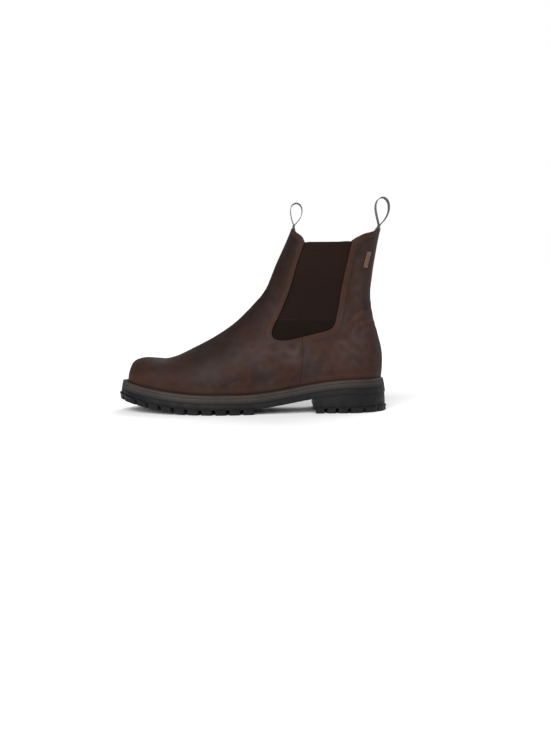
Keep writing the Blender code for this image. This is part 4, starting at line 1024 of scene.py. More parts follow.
def make_upper():
    """All sheets of the upper. Returns the pieces of leather and the elastic panels."""
    cells = GRID.cells
    vamp = make_leather("vamp_leather", cells((0, 3), (0, 3)) | cells((0, 2), (3, 4)), "vamp")
    make_lining("vamp_lining_leather", cells((0, 3), (0, 2)) | cells((0, 1), (2, 4)), "vamp_lining")
    leather, elastic = [vamp], []
    for place_name, side in SIDES:
        sides = (side,)
        quarter = cells((3, 6), (0, 3), sides) | cells((4, 6), (3, 4), sides)
        leather.append(make_leather("quarter_leather_" + place_name, quarter, "quarter_" + place_name))
        lining = cells((3, 6), (0, 2), sides) | cells((5, 6), (2, 4), sides)
        make_lining("quarter_lining_leather_" + place_name, lining, "quarter_lining_" + place_name)
        panel = cells((1, 5), (2, 4), sides)
        elastic.append(make_gore("gore_elastic_" + place_name, panel, "gore_" + place_name))
    return leather, elastic


GORE_LEAN = math.radians(-14)        # of the ribs, from upright
GORE_STITCH_Z = 104.0    # the level row of stitches across the elastic
HEM = 4.2                # height of the elastic's folded hem
HEM_THICK = 0.45         # how much it stands out on either face
HEM_MIDDLE, HEM_REACH = 83.5, (31.0, 29.0)       # the hem's x, and how far off that it ends
MARGIN_TUCKED = 4        # columns over which the elastic's top edge drops behind the leather


def make_gore(name, cells, node):
    """Elastic panel, thicker along its folded hem, sunk a little along its stitch line."""
    sheet = Sheet(cells)
    column = sheet.used % GRID.count
    column = np.minimum(column, GRID.count - column)
    behind = np.maximum(GRID.stops[2] - column, column - GRID.stops[4]) / MARGIN_TUCKED
    sheet.points = lowered(sheet, GORE_TUCK * np.clip(behind, 0, 1))
    x, z = sheet.points[:, 0], sheet.points[:, 2]
    hem = fade(GORE_TOP_Z - z, HEM, HEM - 0.7) * fade(np.abs(x - HEM_MIDDLE), *HEM_REACH)
    stitched = hump(z - GORE_STITCH_Z, 0.7)
    swell = 0.25 * swells(sheet.points, 17.0, 11.0)
    depth = LEATHER + GAP - HEM_THICK * hem + 0.35 * stitched - swell
    along = x * math.cos(GORE_LEAN) + z * math.sin(GORE_LEAN)
    weave = np.stack([along, 0 * along, z], axis=1)
    # Darker lower down the panel and below its row of stitches.
    under = 0.4 * fade(z, 172, 138) + 0.45 * fade(z, GORE_STITCH_Z + 0.5, GORE_STITCH_Z - 0.5)
    made = sheet.make(name, depth, GORE_THICK + HEM_THICK * hem, 0.5, 0.4, trim=0.3,
                      values={"weave": weave, "under": under})
    return finish(made, "brown_elastic", nodes=(node,))


def make_stiffeners():
    """Toe puff and heel counter, between leather and lining."""
    depth = LEATHER + GAP
    x, z = GRID.points[:-1, :, 0], GRID.points[:-1, :, 2]
    toe = GRID.cells((0, 1), (1, 2)) & (np.abs(x + 112) < 32)
    heel = GRID.cells((5, 6), (1, 2)) & (z < 84)
    for node, cells in (("toe_puff", toe), ("heel_counter", heel)):
        made = Sheet(cells).make(node + "_sheet", depth, STIFFENER, 0.3, 0.3, trim=0.4)
        finish(made, "stiffener", nodes=(node,))


# ---- stitching
STITCH = 2.3             # length of one stitch
STITCH_GAP = 0.7
THREAD = 0.28            # half the thread's thickness
THREAD_SIDES = 6
# Along one stitch: place as a share of half its length, thickness as a share of the thread's, and height.
STITCH_RINGS = [(-1.0, 0.45, -0.35), (-0.8, 0.8, -0.05), (-0.4, 1.0, 0.12), (0.4, 1.0, 0.12),
                (0.8, 0.8, -0.05), (1.0, 0.45, -0.35)]
GORE_ROW = 2.1           # from the elastic's edge to the row of stitches round it
SEAM_ROW = 2.4           # from the side seam to the row before it
COLLAR_ROW = 2.3         # from the collar's edge to the row below it
LOW_ROW = (28, 92)       # x from and to of the rows across the elastic, low down and in its hem
HEM_ROW = (58.5, 108.5)


def surface_tree(pieces):
    """Search tree over pieces' surfaces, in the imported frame."""
    points, faces = [], []
    for made in pieces:
        first = len(points)
        points += [v.co.copy() for v in made.data.vertices]
        faces += [[i + first for i in f.vertices] for f in made.data.polygons]
    return BVHTree.FromPolygons(points, faces)


OUTSIDE = 150.0          # y well outside the boot


def on_surface(tree, side, line):
    """Where side-view points meet the surface, seen from one side: drafting points and normals."""
    found, normals = [], []
    for x, z in line:
        start = Vector(place((x, side * OUTSIDE, z)))
        hit, normal, _, _ = tree.ray_cast(start, Vector((0, -side, 0)))
        if hit is not None:
            found.append(np.array(hit) / MM - SHIFT)
            normals.append(np.array(normal))
    return np.array(found), np.array(normals)


def stitch_shape():
    """One stitch along x: a thread that rises out of the leather and dives back."""
    turn = np.linspace(0, 2 * math.pi, THREAD_SIDES, endpoint=False)
    rings = []
    for share, thickness, height in STITCH_RINGS:
        x, r = np.full(THREAD_SIDES, share * STITCH / 2), thickness * THREAD
        rings.append(np.stack([x, r * np.cos(turn), height + r * np.sin(turn)], axis=1))
    return solid(rings)


def sew(name, runs, slot):
    """Stitches along runs of (points, normals)."""
    shape, shape_faces = stitch_shape()
    parts = []
    for points, normals in runs:
        length = lengths(points)[-1]
        count = int(length / (STITCH + STITCH_GAP))
        share = (np.arange(count) + 0.5) / count
        near = 0.3 / length
        ahead = resample(points, np.clip(share + near, 0, 1))
        way = unit(ahead - resample(points, np.clip(share - near, 0, 1)))
        up = resample(np.hstack([points, normals]), share)[:, 3:]
        across = unit(np.cross(up, way))
        axes = np.stack([way, across, np.cross(way, across)], axis=1)
        centres = resample(points, share)
        parts += [(centre + shape @ turn, shape_faces) for centre, turn in zip(centres, axes)]
    return finish(joined(name, parts), slot, smooth=60)


def level_row(ends, z, count):
    return np.stack([np.linspace(*ends, count), np.full(count, z)], axis=1)


def make_stitching(leather, elastic):
    """The rows round each elastic panel, before the side seam, below the collar and across the elastic."""
    front = shifted(spline(GORE_FRONT, 300), GORE_ROW)
    rear = shifted(spline(GORE_REAR, 300), -GORE_ROW)
    bottom = np.vstack([spline(GORE_BOTTOM_FRONT, 100), spline(GORE_BOTTOM_REAR, 100)[1:]])
    bottom = shifted(resample(bottom, np.linspace(0, 1, 200)), -GORE_ROW)
    around = spline(np.vstack([front[::-1][:-6:12], bottom[8:-8:16], rear[6::12]]), 900)
    (low_x, _), middle, (top_x, top_z) = SIDE_SEAM
    seam = spline([(low_x, feather_z(low_x) + 1.5), middle, (top_x, top_z + 2)], 200)
    collar = [shifted(spline(line, 200), -COLLAR_ROW)[3:-3] for line in (COLLAR_FRONT, COLLAR_REAR)]
    across = [level_row(LOW_ROW, GORE_STITCH_Z, 260), level_row(HEM_ROW, GORE_TOP_Z - HEM + 1.0, 200)]
    for place_name, side in SIDES:
        for kind, slot, tree, lines in (
                ("upper", "thread_brown", leather, [around, seam - (SEAM_ROW, 0), *collar]),
                ("gore", "thread_dark", elastic, across)):
            runs = [on_surface(tree, side, line) for line in lines]
            sew(f"{kind}_stitching_{place_name}", runs, slot)


# ---- welt, midsole, outsole
AROUND = 720             # points round the sole's outline
# Each row of the welt: distance in from the tread's edge, height from the feather, share of the ribs' height.
WELT_ROWS = [(8.6, GAP / 2 - WELT_THICK, 0), (2.9, GAP / 2 - WELT_THICK, 0),
             (2.85, GAP / 2 - WELT_THICK + 0.25, 0), (3.0, -1.5, 0), (3.25, -0.8, 0), (3.8, -0.3, 0),
             (4.5, -0.12, 0), (5.6, -0.1, 0), (6.1, -0.25, 0.2), (6.5, 0.15, 1), (7.0, 0.3, 1),
             (7.5, 0.1, 0.6), (7.9, -0.5, 0)]
RIB_HEIGHTS = (0.10, 0.14)           # of the welt's ribs, and what the waist adds
WAIST = ((-20, 10), (92, 70))        # x where the waist's coarser ribs begin and end


def make_welt():
    """The strip round the foot: rounded shoulder, fine ribbed line beside the leather."""
    edge = tread_outline(AROUND)
    waist = fade(edge[:, 0], *WAIST[0]) * fade(edge[:, 0], *WAIST[1])
    every_other = 0.5 + 0.5 * np.cos(np.arange(AROUND) * math.pi)
    ribs = (RIB_HEIGHTS[0] + RIB_HEIGHTS[1] * waist) * every_other
    rings, rand = [], []
    for distance, z, rib in WELT_ROWS:
        to_leather = (distance - WELT_SIDE) / (UPPER_INSET[0] - WELT_SIDE)
        ring = inset(edge, lambda x: WELT_SIDE + (upper_inset(x) - WELT_SIDE) * to_leather)
        rings.append(lifted(ring, FEATHER + z + rib * ribs))
        rand.append(np.full(AROUND, 0.8 * min(1.0, rib * 1.5)))
    values = {"rand": np.concatenate(rand), "low": np.zeros(AROUND * len(rings))}
    made = ring_object("welt_strip", rings, closed=True, values=values)
    return finish(made, "grey_rubber", nodes=("welt",))


def make_midsole():
    """The grey band, whose side leans in and darkens towards the outsole."""
    edge = tread_outline(AROUND)
    low = LUG_HEIGHT + OUTSOLE_BASE + GAP / 2
    high = low + MIDSOLE_THICK + GAP
    a, b = MIDSOLE_SIDE
    # Distance in from the tread's edge, height, and how much darker the side is.
    rows = [(a + 0.5, low, 1.0), (a + 0.1, low + 0.15, 1.0), (a, low + 0.5, 0.95),
            ((a + b) / 2 - 0.05, (low + high) / 2, 0.45), (b, high - 0.5, 0.08), (b + 0.1, high - 0.15, 0.05),
            (b + 0.5, high, 0.05)]
    rings = [lifted(inset(edge, distance), z) for distance, z, _ in rows]
    shades = np.repeat([shade for _, _, shade in rows], AROUND)
    made = ring_object("midsole_layer", rings, values={"low": shades, "rand": 0 * shades})
    return finish(made, "grey_rubber", nodes=("midsole",))


def soften(outline, radius):
    """Each corner of a closed outline replaced by a short curve."""
    p = np.array(outline, float)
    made = []
    for a, b, c in zip(np.roll(p, 1, axis=0), p, np.roll(p, -1, axis=0)):
        start = b + unit(a - b) * min(radius, 0.4 * np.linalg.norm(a - b))
        end = b + unit(c - b) * min(radius, 0.4 * np.linalg.norm(c - b))
        made += [(1 - t) ** 2 * start + 2 * t * (1 - t) * b + t * t * end for t in (0, 0.5, 1)]
    return np.array(made)


def grown(outline, distance):
    """A closed outline moved outwards along the mitres of its corners."""
    p = np.array(outline, float)
    area = np.sum(p[:, 0] * np.roll(p[:, 1], -1) - np.roll(p[:, 0], -1) * p[:, 1])
    along = unit(np.roll(p, -1, axis=0) - p)
    out = np.stack([along[:, 1], -along[:, 0]], axis=1) * np.sign(area)
    both = out + np.roll(out, 1, axis=0)
    both /= np.maximum((both * both).sum(1), 1.2)[:, None] / 2
    return p + both * distance


# A lug's walls from the ground up: how far they stand out, and height.
LUG_PROFILE = [(-0.45, 0.0), (-0.08, 0.12), (0.0, 0.5), (0.12, LUG_HEIGHT - 1.2), (0.35, LUG_HEIGHT - 0.4),
               (0.8, LUG_HEIGHT), (1.0, LUG_HEIGHT + 0.9)]
LUG_CORNER = 0.7
NOTCH = 0.6              # where the grooves' diamonds and the nails are, as a share of a flank's length
FLANK = ((NOTCH - 0.1, 0.0), (NOTCH, 1.9), (NOTCH + 0.1, 0.0))      # shares of it, and how deep it is cut


def lug_part(outline, raised):
    """Points and faces of one lug: chamfered edges, slightly sloping walls, a fillet at its root."""
    soft = soften(outline, LUG_CORNER)
    layer = lifted if raised else at_height
    return solid([layer(grown(soft, growth), z) for growth, z in LUG_PROFILE])


def path_between(outline, start, end):
    """The outline's points from the one nearest start, through the toe or heel, to the one nearest end."""
    a = int(np.argmin(np.linalg.norm(outline - start, axis=1)))
    b = int(np.argmin(np.linalg.norm(outline - end, axis=1)))
    return outline[a: b + 1] if a <= b else np.vstack([outline[a:], outline[: b + 1]])


def lug(outer, inner, s0, s1, t0, t1, groove_out, groove_in):
    """One lug between two grooves: its edge on the outer path from s0 to s1, its end on the inner path
    from t0 to t1, and a notch in each flank where the grooves open into a diamond."""
    edge = resample(outer, np.linspace(s0, s1, 4))
    end = resample(inner, [t0, t1])
    span = unit(edge[-1] - edge[0])
    across = (end[1] - end[0]) / max(np.linalg.norm(end[1] - end[0]), 0.1)
    edge[0] += span * groove_out
    edge[-1] -= span * groove_out
    end[0] += across * groove_in
    end[1] -= across * groove_in
    left = [edge[0] + (end[0] - edge[0]) * share + span * bite for share, bite in FLANK]
    right = [edge[-1] + (end[1] - edge[-1]) * share - span * bite for share, bite in FLANK]
    return [*edge, *right, end[1], end[0], *reversed(left)]


def shares(parts):
    return np.concatenate([[0], np.cumsum(parts)]) / sum(parts)


def lugs_along(outer, inner, outer_widths, inner_widths, groove_out, groove_in):
    s, t = shares(outer_widths), shares(inner_widths)
    return [lug(outer, inner, s[k], s[k + 1], t[k], t[k + 1], groove_out, groove_in)
            for k in range(len(outer_widths))]


def turned(x, y, angle):
    c, s = math.cos(angle), math.sin(angle)
    return x * c - y * s, x * s + y * c


def cross_stud(x, y, reach=8.0, arm=2.9):
    """A four-armed stud with pointed arms."""
    corner = [(arm, arm), (reach - arm, arm), (reach, 0), (reach - arm, -arm)]
    arms = [turned(px, py, -quarter * math.pi / 2) for quarter in range(4) for px, py in corner]
    return [(x + px, y + py) for px, py in arms]


# The studs: distance from the back of the heel, and from the foot's axis.
FOREFOOT_STUDS = [(164, 10.5), (184, 15.4), (210, 15), (232, 10), (251, 2.6), (198, 1.5), (218, -2.6)]
HEEL_STUDS = [(53, 1), (75, 3.5)]
# The inner ends of the lugs lie on these ovals: distance from the back of the heel, and y.
FOREFOOT_OVAL = [(155, -25), (185, -28), (215, -26.5), (240, -20), (256, -9), (260.5, 0), (255, 8), (238, 14),
                 (212, 16), (185, 14), (166, 11)]
HEEL_OVAL = [(82, 8), (60, 10), (43, 8.5), (35, 0), (43, -10), (60, -16), (82, -17)]


# Where the forefoot's lugs begin and end on the tread's edge, and the heel's breast: near these y.
FOREFOOT_ENDS = ((148, -55), (160, 35))
BREAST_ENDS = (34, -42)
# How wide the lugs are beside each other, on the tread's edge and on the oval.
FOREFOOT_WIDTHS = ([1.0] * 9 + [1.45] * 4 + [1.0] * 8, [1.0] * 9 + [0.72] * 4 + [1.0] * 8)
HEEL_WIDTHS = ([0.85, 0.85, 0.9, 0.9, 1.35, 1.2, 1.1, 1.1, 1.3, 1.2, 0.9, 0.85, 0.85],
               [1, 1, 1, 0.9, 0.7, 0.6, 0.6, 0.6, 0.7, 0.9, 1, 1, 1])
# Half the grooves' widths, on the edge and on the oval.
FOREFOOT_GROOVES, HEEL_GROOVES = (2.0, 1.5), (1.9, 1.2)


def sole_spline(oval, count):
    return spline([(station(u), y) for u, y in oval], count)


def forefoot_lugs():
    ends = [(station(u), y) for u, y in FOREFOOT_ENDS]
    outer = path_between(tread_outline(AROUND), *ends)
    return lugs_along(outer, sole_spline(FOREFOOT_OVAL, 200), *FOREFOOT_WIDTHS, *FOREFOOT_GROOVES)


def heel_edge(breast):
    """The tread's edge round the heel, from one end of the breast to the other."""
    return path_between(tread_outline(AROUND), *[(station(breast), y) for y in BREAST_ENDS])


def heel_paths():
    return heel_edge(HEEL_BREAST - 1), sole_spline(HEEL_OVAL, 120)


def nail_places():
    """The twelve nails, one in each groove's diamond."""
    a, b = [resample(path, shares(widths)[1:-1]) for path, widths in zip(heel_paths(), HEEL_WIDTHS)]
    return a + (b - a) * NOTCH


def circle(centre, radius, count=32):
    turn = np.linspace(0, 2 * math.pi, count, endpoint=False)
    return np.stack([centre[0] + radius * np.cos(turn), centre[1] + radius * np.sin(turn)], axis=1)


def cut(target, parts):
    """Takes helper solids of (points, faces) out of an object."""
    tool = joined("cutter", parts)
    modifier = target.modifiers.new("cut", "BOOLEAN")
    modifier.object = tool
    modifier.operation = "DIFFERENCE"
    modifier.solver = "EXACT"
    graph = bpy.context.evaluated_depsgraph_get()
    mesh = bpy.data.meshes.new_from_object(target.evaluated_get(graph))
    target.modifiers.clear()
    target.data = mesh
    bpy.data.objects.remove(tool)


def raise_points(made, stations, rise):
    """Cuts a level-built piece across at the stations and raises each point by rise(x, z)."""
    with editing(made.data) as work:
        for x in stations:
            everything = work.verts[:] + work.edges[:] + work.faces[:]
            at = Vector(place((x, 0, 0)))
            bmesh.ops.bisect_plane(work, geom=everything, dist=1e-6, plane_co=at, plane_no=(1, 0, 0))
        for v in work.verts:
            v.co.z += MM * rise(v.co.x / MM - SHIFT[0], v.co.z / MM)
        bmesh.ops.triangulate(work, faces=[f for f in work.faces if len(f.verts) > 4])


BELOW_BASE = 4           # a cutter's foot, well under the sole's base plate


def groove_part(outer, inner, high):
    """A cutter between two outlines, up to a height."""
    return solid([at_height(outer, BELOW_BASE), at_height(outer, high), at_height(inner, high),
                  at_height(inner, BELOW_BASE)], closed=True)


# The plain panel moulded into the waist, and the plain ring beside it: distance from the heel's back, and y.
PANEL_CENTRE, PANEL_TURN = (119, -9.5), math.radians(-9)
MARK_CENTRE = (143.5, 11.5)


def panel_outline(half_x, half_y):
    corners = [(half_x, half_y), (-half_x, half_y), (-half_x, -half_y), (half_x, -half_y)]
    corners = [turned(x, y, PANEL_TURN) for x, y in corners]
    return soften([(station(PANEL_CENTRE[0]) + x, PANEL_CENTRE[1] + y) for x, y in corners], 1.0)


def append_parts(made, parts):
    """Adds loose solids to an object's mesh."""
    extra = joined("extra", parts)
    with editing(made.data) as work:
        work.from_mesh(extra.data)
    bpy.data.objects.remove(extra)


def make_outsole():
    """Base plate with its waist panel, then the forefoot's lugs and studs."""
    edge = tread_outline(AROUND)
    a, b = OUTSOLE_SIDE
    top = LUG_HEIGHT + OUTSOLE_BASE + GAP / 2
    profile = [(a + 0.7, LUG_HEIGHT), (a + 0.2, LUG_HEIGHT + 0.2), (a, LUG_HEIGHT + 0.7), (b, top - 0.3),
               (b + 0.4, top)]
    rings = [at_height(inset(edge, distance), z) for distance, z in profile]
    base = ring_object("outsole_rubber", rings)
    spot = (station(MARK_CENTRE[0]), MARK_CENTRE[1])
    cut(base, [groove_part(panel_outline(9.4, 17.8), panel_outline(8.6, 17.0), LUG_HEIGHT + 0.8),
               groove_part(circle(spot, 5.4), circle(spot, 4.7), LUG_HEIGHT + 0.5)])
    raise_points(base, np.arange(-148, 120, 4.0), lambda x, z: float(lift(x)))
    blocks = forefoot_lugs() + [cross_stud(station(u), -v) for u, v in FOREFOOT_STUDS]
    append_parts(base, [lug_part(block, True) for block in blocks])
    return finish(base, "black_rubber", nodes=("outsole",), smooth=32)


def make_heel():
    """Heel block: its wall follows the tread's edge, its breast is straight across."""
    around = resample(heel_edge(HEEL_BREAST), np.linspace(0, 1, 260))
    a, b = OUTSOLE_SIDE
    top = 2 * LUG_HEIGHT
    rings = []
    for distance, z in ((a + 0.6, LUG_HEIGHT), (a + 0.15, LUG_HEIGHT + 0.2), (a, LUG_HEIGHT + 0.6), (b, top)):
        ring = shifted(around, -distance)
        ring[0, 0] = ring[-1, 0] = station(HEEL_BREAST)
        rings.append(at_height(ring, z))
    block = ring_object("heel_rubber", rings)
    holes = [circle(spot, NAIL_RADIUS + 0.6, 24) for spot in nail_places()]
    cut(block, [solid([at_height(hole, 2), at_height(hole, 3 * LUG_HEIGHT)]) for hole in holes])

    def rise(x, z):
        return float(lift(x)) + LUG_HEIGHT - GAP / 2 - top if z > top - 0.5 else 0.0

    raise_points(block, np.arange(68, 120, 4.0), rise)
    lugs = lugs_along(*heel_paths(), *HEEL_WIDTHS, *HEEL_GROOVES)
    studs = [cross_stud(station(u), -v, 7.2, 2.7) for u, v in HEEL_STUDS]
    append_parts(block, [lug_part(outline, False) for outline in lugs + studs])
    return finish(block, "black_rubber", nodes=("heel_block",), smooth=32)


NAIL_HEAD = 8.75         # height of the nails' heads above the ground
NAIL_REACH = 3.0         # how far their points stand in the midsole


def make_nails():
    for number, spot in enumerate(nail_places(), start=1):
        top = LUG_HEIGHT + float(lift(spot[0])) + OUTSOLE_BASE + GAP + NAIL_REACH
        profile = [(0.25, NAIL_HEAD), (0.75, NAIL_HEAD + 0.1), (NAIL_RADIUS, NAIL_HEAD + 0.4),
                   (NAIL_RADIUS, NAIL_HEAD + 1.25), (0.7, NAIL_HEAD + 1.85), (0.7, top - 2), (0.1, top)]
        rings = [at_height(circle(spot, radius, 20), z) for radius, z in profile]
        made = ring_object(f"heel_nail_steel_{number:02d}", rings)
        finish(made, "steel", nodes=(f"heel_nail_{number:02d}",))


FOOTBED_POINTS = 240     # round the footbed's edge
FOOTBED_WALL = LEATHER + LINING + STIFFENER + 10 * GAP - 0.4         # from the leather's face in to the edge
# The footbed's rows are drawn together towards this middle line: x and y.
SPINE_X, SPINE_Y = (-104, -60, 20, 106), (1.5, -5, -9, 0)
HEEL_CUP, ARCH_CUP = 2.4, 2.2        # how high its edge rises round the heel and at the arch


def footbed_row(edge, share, rise):
    """A row round the footbed: its share of the way out from the spine to the edge, and its height."""
    spine = np.stack([np.clip(edge[:, 0], SPINE_X[0], SPINE_X[-1]), np.zeros(len(edge))], axis=1)
    spine[:, 1] = np.interp(spine[:, 0], SPINE_X, SPINE_Y)
    row = spine + (edge - spine) * share
    x, y = row[:, 0], row[:, 1]
    arch = fade(y, 0, 16) * fade(x, -10, 20) * fade(x, 90, 60)
    cup = share ** 4 * (HEEL_CUP * fade(x, 30, 95) + ARCH_CUP * arch)
    low = FEATHER - WELT_THICK + LEATHER + 5 * GAP + BOARD_THICK
    return lifted(row, low + rise + (cup if rise > 1 else 0))


def make_footbed():
    """Cushioned footbed: raised round the heel and the arch, with a rolled edge and a row of stitches."""
    edge = inset(tread_outline(FOOTBED_POINTS), lambda x: upper_inset(x) + FOOTBED_WALL)
    top = FOOTBED_THICK
    rows = [(0.96, 0), (0.995, 0.4), (1.0, 1.0), (1.0, top - 1.2), (0.99, top - 0.3), (0.965, top)]
    rows += [(share, top + 0.15 * math.sin(share * 9)) for share in np.linspace(0.92, 0.04, 18)]
    made = ring_object("footbed_cushion", [footbed_row(edge, *row) for row in rows])
    finish(made, "footbed_cover", nodes=("footbed",))
    seam = footbed_row(edge, 0.93, top + 0.1)
    seam = np.vstack([seam, seam[:1]])
    sew("footbed_stitching", [(seam, np.tile((0.0, 0.0, 1.0), (len(seam), 1)))], "thread_tan")


# ---- pull loops and tag
LOOP_SIZES = {True: (26.6, 14.3, 3.4), False: (33.2, 16.4, 3.0)}     # front or not: height, width, lean
TEARDROP = 0.42          # how sharply a loop draws in to its foot
TAB_DEPTH = 16.0         # how far the webbing runs down inside the collar
HALF_TAPE = 0.32         # half the webbing's thickness
SELVEDGE = 0.3           # width of its thicker edges
# Across half the webbing, from its edge in: distance from the edge, and thickness as a share.
TAPE_EDGE = [(0, 0.3), (0.12, 0.75), (SELVEDGE, 1.1)]


def loop_path(front, count=220):
    """Middle line of the webbing in the side view: up one leg, round the teardrop and down the other."""
    height, width, lean = LOOP_SIZES[front]
    fold = fold_point(front)
    turn = np.linspace(-math.pi / 2, 3 * math.pi / 2, count)
    up = np.sin(turn)
    half = WEBBING / 2
    across = np.cos(turn) * (0.5 + 0.5 * up) ** TEARDROP
    x = across / across.max() * (width / 2 - half)
    z = LOOP_STEM + (1 + up) * (height - LOOP_STEM - half) / 2
    x = np.where(turn < math.pi / 2, np.maximum(x, half), np.minimum(x, -half))
    x = x + lean * np.sin(np.clip(z / (0.55 * height), 0, 1) * math.pi / 2)
    drop = np.stack([fold[0] + x, fold[1] + z], axis=1)
    line = RIDGE_LINE if front else BACK_LINE
    way = unit(line[-40] - line[-1])
    behind = np.array([-way[1], way[0]]) if front else np.array([way[1], -way[0]])
    down = np.linspace(0, TAB_DEPTH, 30)[:, None]
    lining_side = line[-1] + way * (down - LOOP_RISE) + behind * (LEATHER + GAP + WEBBING)
    stem = fold + way * down
    stem = stem + (lining_side - stem) * smoothstep(down / 5.0)
    legs = [stem + (half, 0), stem + (-half, 0)]
    return np.vstack([legs[0][::-1], drop[1:-1], legs[1]])


def collar_bow(front):
    """y against how far the leather's top edge curves back from its middle."""
    middle = 0 if front else GRID.half
    top = [GRID.points[-1, (middle + k) % GRID.count] for k in range(-40, 41)]
    top = np.array([p for p in top if abs(p[1]) < LOOP_WIDTH])
    top = top[np.argsort(top[:, 1])]
    at_middle = top[np.argmin(np.abs(top[:, 1])), 0]
    return top[:, 1], top[:, 0] - at_middle


def make_pull(front):
    """One length of webbing: sewn in behind the leather, out of the collar, round its loop and back in."""
    word = "front" if front else "back"
    path = loop_path(front)
    half = LOOP_WIDTH / 2
    near = [-half + distance for distance, _ in TAPE_EDGE]
    across = np.concatenate([near, np.linspace(-half + 1.5, half - 1.5, 12), -np.array(near[::-1])])
    swell = [thickness for _, thickness in TAPE_EDGE]
    swell = np.concatenate([swell, np.full(12, 1.0), swell[::-1]])
    ring_y = np.concatenate([across, across[::-1]])
    ring_out = np.concatenate([swell, -swell[::-1]]) * HALF_TAPE
    bow_y, bow = collar_bow(front)
    rings, weave = [], []
    for (x, z), n, along in zip(path, leftward(path), lengths(path)):
        curved = np.interp(ring_y, bow_y, bow) * fade(z, PEAK_Z + 9, PEAK_Z - 2)
        rings.append(np.stack([x + n[0] * ring_out + curved, ring_y, z + n[1] * ring_out], axis=1))
        weave.append(np.stack([ring_y, np.full(len(ring_y), along), 0 * ring_y], axis=1))
    made = ring_object(word + "_pull_webbing", rings, values={"weave": np.concatenate(weave)})
    finish(made, "black_webbing", body=None, nodes=(word + "_pull_loop", word + "_pull_tab"))
    x, z = fold_point(front)
    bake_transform(made)


TAG = [(123.2, 162.6), (127.8, 161.6), (132.2, 179.3), (127.6, 179.9)]       # its corners, side view
TAG_ACROSS, TAG_UP = 9, 25           # points across and up the tag
TAG_WIDTH, TAG_HEIGHT, TAG_THICK = 5.8, 18, 1.0
TAG_STITCHED = (2, 22)               # rows of points with stitches along them


def make_tag(tree):
    """A small blank leather tag, sewn down at both ends."""
    many = TAG_ACROSS * TAG_UP
    u = np.tile(np.linspace(0, 1, TAG_ACROSS), TAG_UP)
    v = np.repeat(np.linspace(0, 1, TAG_UP), TAG_ACROSS)
    weights = np.stack([(1 - v) * (1 - u), (1 - v) * u, v * u, v * (1 - u)], axis=1)
    points, normals = on_surface(tree, OUTER, weights @ np.array(TAG))
    rim = np.minimum(np.minimum(u, 1 - u) * TAG_WIDTH, np.minimum(v, 1 - v) * TAG_HEIGHT)
    top = points + normals * (TAG_THICK - edge_dip(rim, 0.5))[:, None]
    bottom = points - normals * 0.3
    number = np.arange(many).reshape(TAG_UP, TAG_ACROSS)
    quads = np.stack([number[:-1, :-1], number[:-1, 1:], number[1:, 1:], number[1:, :-1]], axis=-1)
    quads = quads.reshape(-1, 4)
    border = np.concatenate([number[0], number[1:, -1], number[-1, -2::-1], number[-2:0:-1, 0]])
    after = np.roll(border, -1)
    sides = np.stack([border, after, after + many, border + many], axis=1)
    made = new_object("tag_leather", np.vstack([top, bottom]),
                      np.vstack([quads, quads[:, ::-1] + many, sides]))
    face_outwards(made)
    finish(made, "tan_tag", nodes=("side_tag",))
    rows = [number[row, 1:-1] for row in TAG_STITCHED]
    sew("tag_stitching", [(top[row], normals[row]) for row in rows], "thread_tan")


# ---- studio
FLOOR_REACH = 40.0       # metres
WORLD_LIGHT = 0.3        # the background's strength as a light, where it looks full white
SUNS = (("front_light", (-0.35, -1.0, 0.66), 3.8), ("back_light", (0.5, 1.0, 0.9), 1.7))
SUN_SIZE = math.radians(55)


def make_floor():
    r = FLOOR_REACH
    floor = bpy.data.meshes.new("studio_floor")
    floor.from_pydata([(-r, -r, 0), (r, -r, 0), (r, r, 0), (-r, r, 0)], [], [(0, 1, 2, 3)])
    white = bpy.data.materials.new("studio_white")
    white.use_nodes = True
    shader = white.node_tree.nodes["Principled BSDF"]
    shader.inputs["Base Color"].default_value = (0.97, 0.97, 0.97, 1)
    shader.inputs["Roughness"].default_value = 0.9
    floor.materials.append(white)
    add_object("studio_floor", floor)


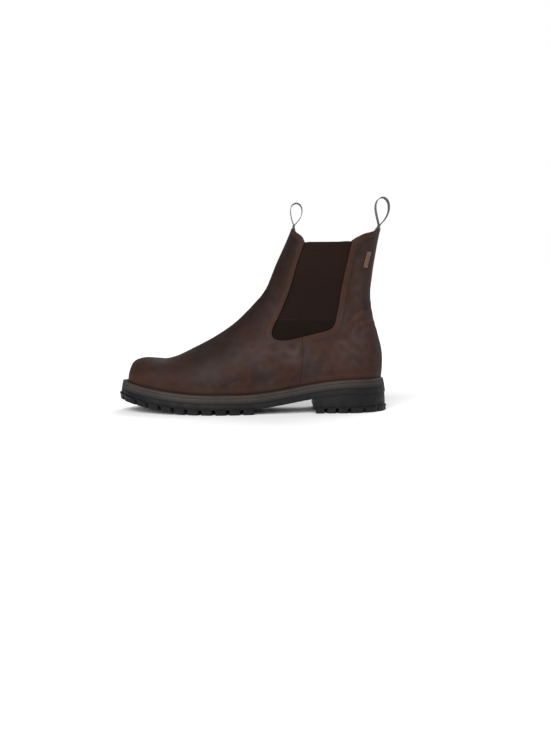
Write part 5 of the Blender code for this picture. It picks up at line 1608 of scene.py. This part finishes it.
def make_studio():
    """A white floor that runs into a white background, and soft light, most of it from the camera's side."""
    make_floor()
    world = bpy.data.worlds.new("studio")
    world.use_nodes = True
    tree = world.node_tree
    seen = tree.nodes.new("ShaderNodeLightPath").outputs["Is Camera Ray"]
    strength = tree.nodes.new("ShaderNodeMapRange")
    tree.links.new(seen, strength.inputs["Value"])
    strength.inputs["To Min"].default_value = WORLD_LIGHT
    strength.inputs["To Max"].default_value = 1.0
    background = tree.nodes["Background"].inputs
    background["Color"].default_value = (1, 1, 1, 1)
    tree.links.new(strength.outputs[0], background["Strength"])
    bpy.context.scene.world = world
    for sun in SUNS:
        add_sun(*sun)


def add_sun(name, direction, strength):
    """A wide sun that shines from a direction."""
    light = bpy.data.lights.new(name, "SUN")
    light.angle = SUN_SIZE
    light.energy = strength
    made = add_object(name, light)
    made.location = direction
    made.rotation_euler = Vector(direction).to_track_quat("Z", "Y").to_euler()


CAMERA_PLACE = (25.0, -1250.0, 150.0)      # drafting space
CAMERA_PITCH = 4.63      # degrees below level
CAMERA_LENS = 53.7


def make_camera():
    data = bpy.data.cameras.new("camera")
    data.lens = CAMERA_LENS
    camera = add_object("camera", data)
    camera.location = place(CAMERA_PLACE)
    camera.rotation_euler = (math.radians(90 - CAMERA_PITCH), 0, 0)
    bpy.context.scene.camera = camera
    bpy.context.scene.view_settings.view_transform = "Standard"


def dress_hidden_nodes():
    """The closed-in pieces keep their CAD shape and get their own finish."""
    for node, slot in (("insole_board", "insole_board"), ("cork_filler", "cork"), ("shank", "steel")):
        made = frame["nodes"][node]
        made.data.materials.clear()
        made.data.materials.append(LOOKS[slot])


def main():
    for make_look in (leather_look, elastic_look, lining_look, webbing_look, rubber_look, grey_rubber_look,
                      footbed_look, tag_look, thread_looks, inner_looks):
        make_look()
    make_camera()
    make_studio()
    leather, elastic = (surface_tree(pieces) for pieces in make_upper())
    make_stiffeners()
    make_stitching(leather, elastic)
    make_tag(leather)
    for make_piece in (make_welt, make_midsole, make_outsole, make_heel, make_nails, make_footbed):
        make_piece()
    for front in (True, False):
        make_pull(front)
    dress_hidden_nodes()


main()
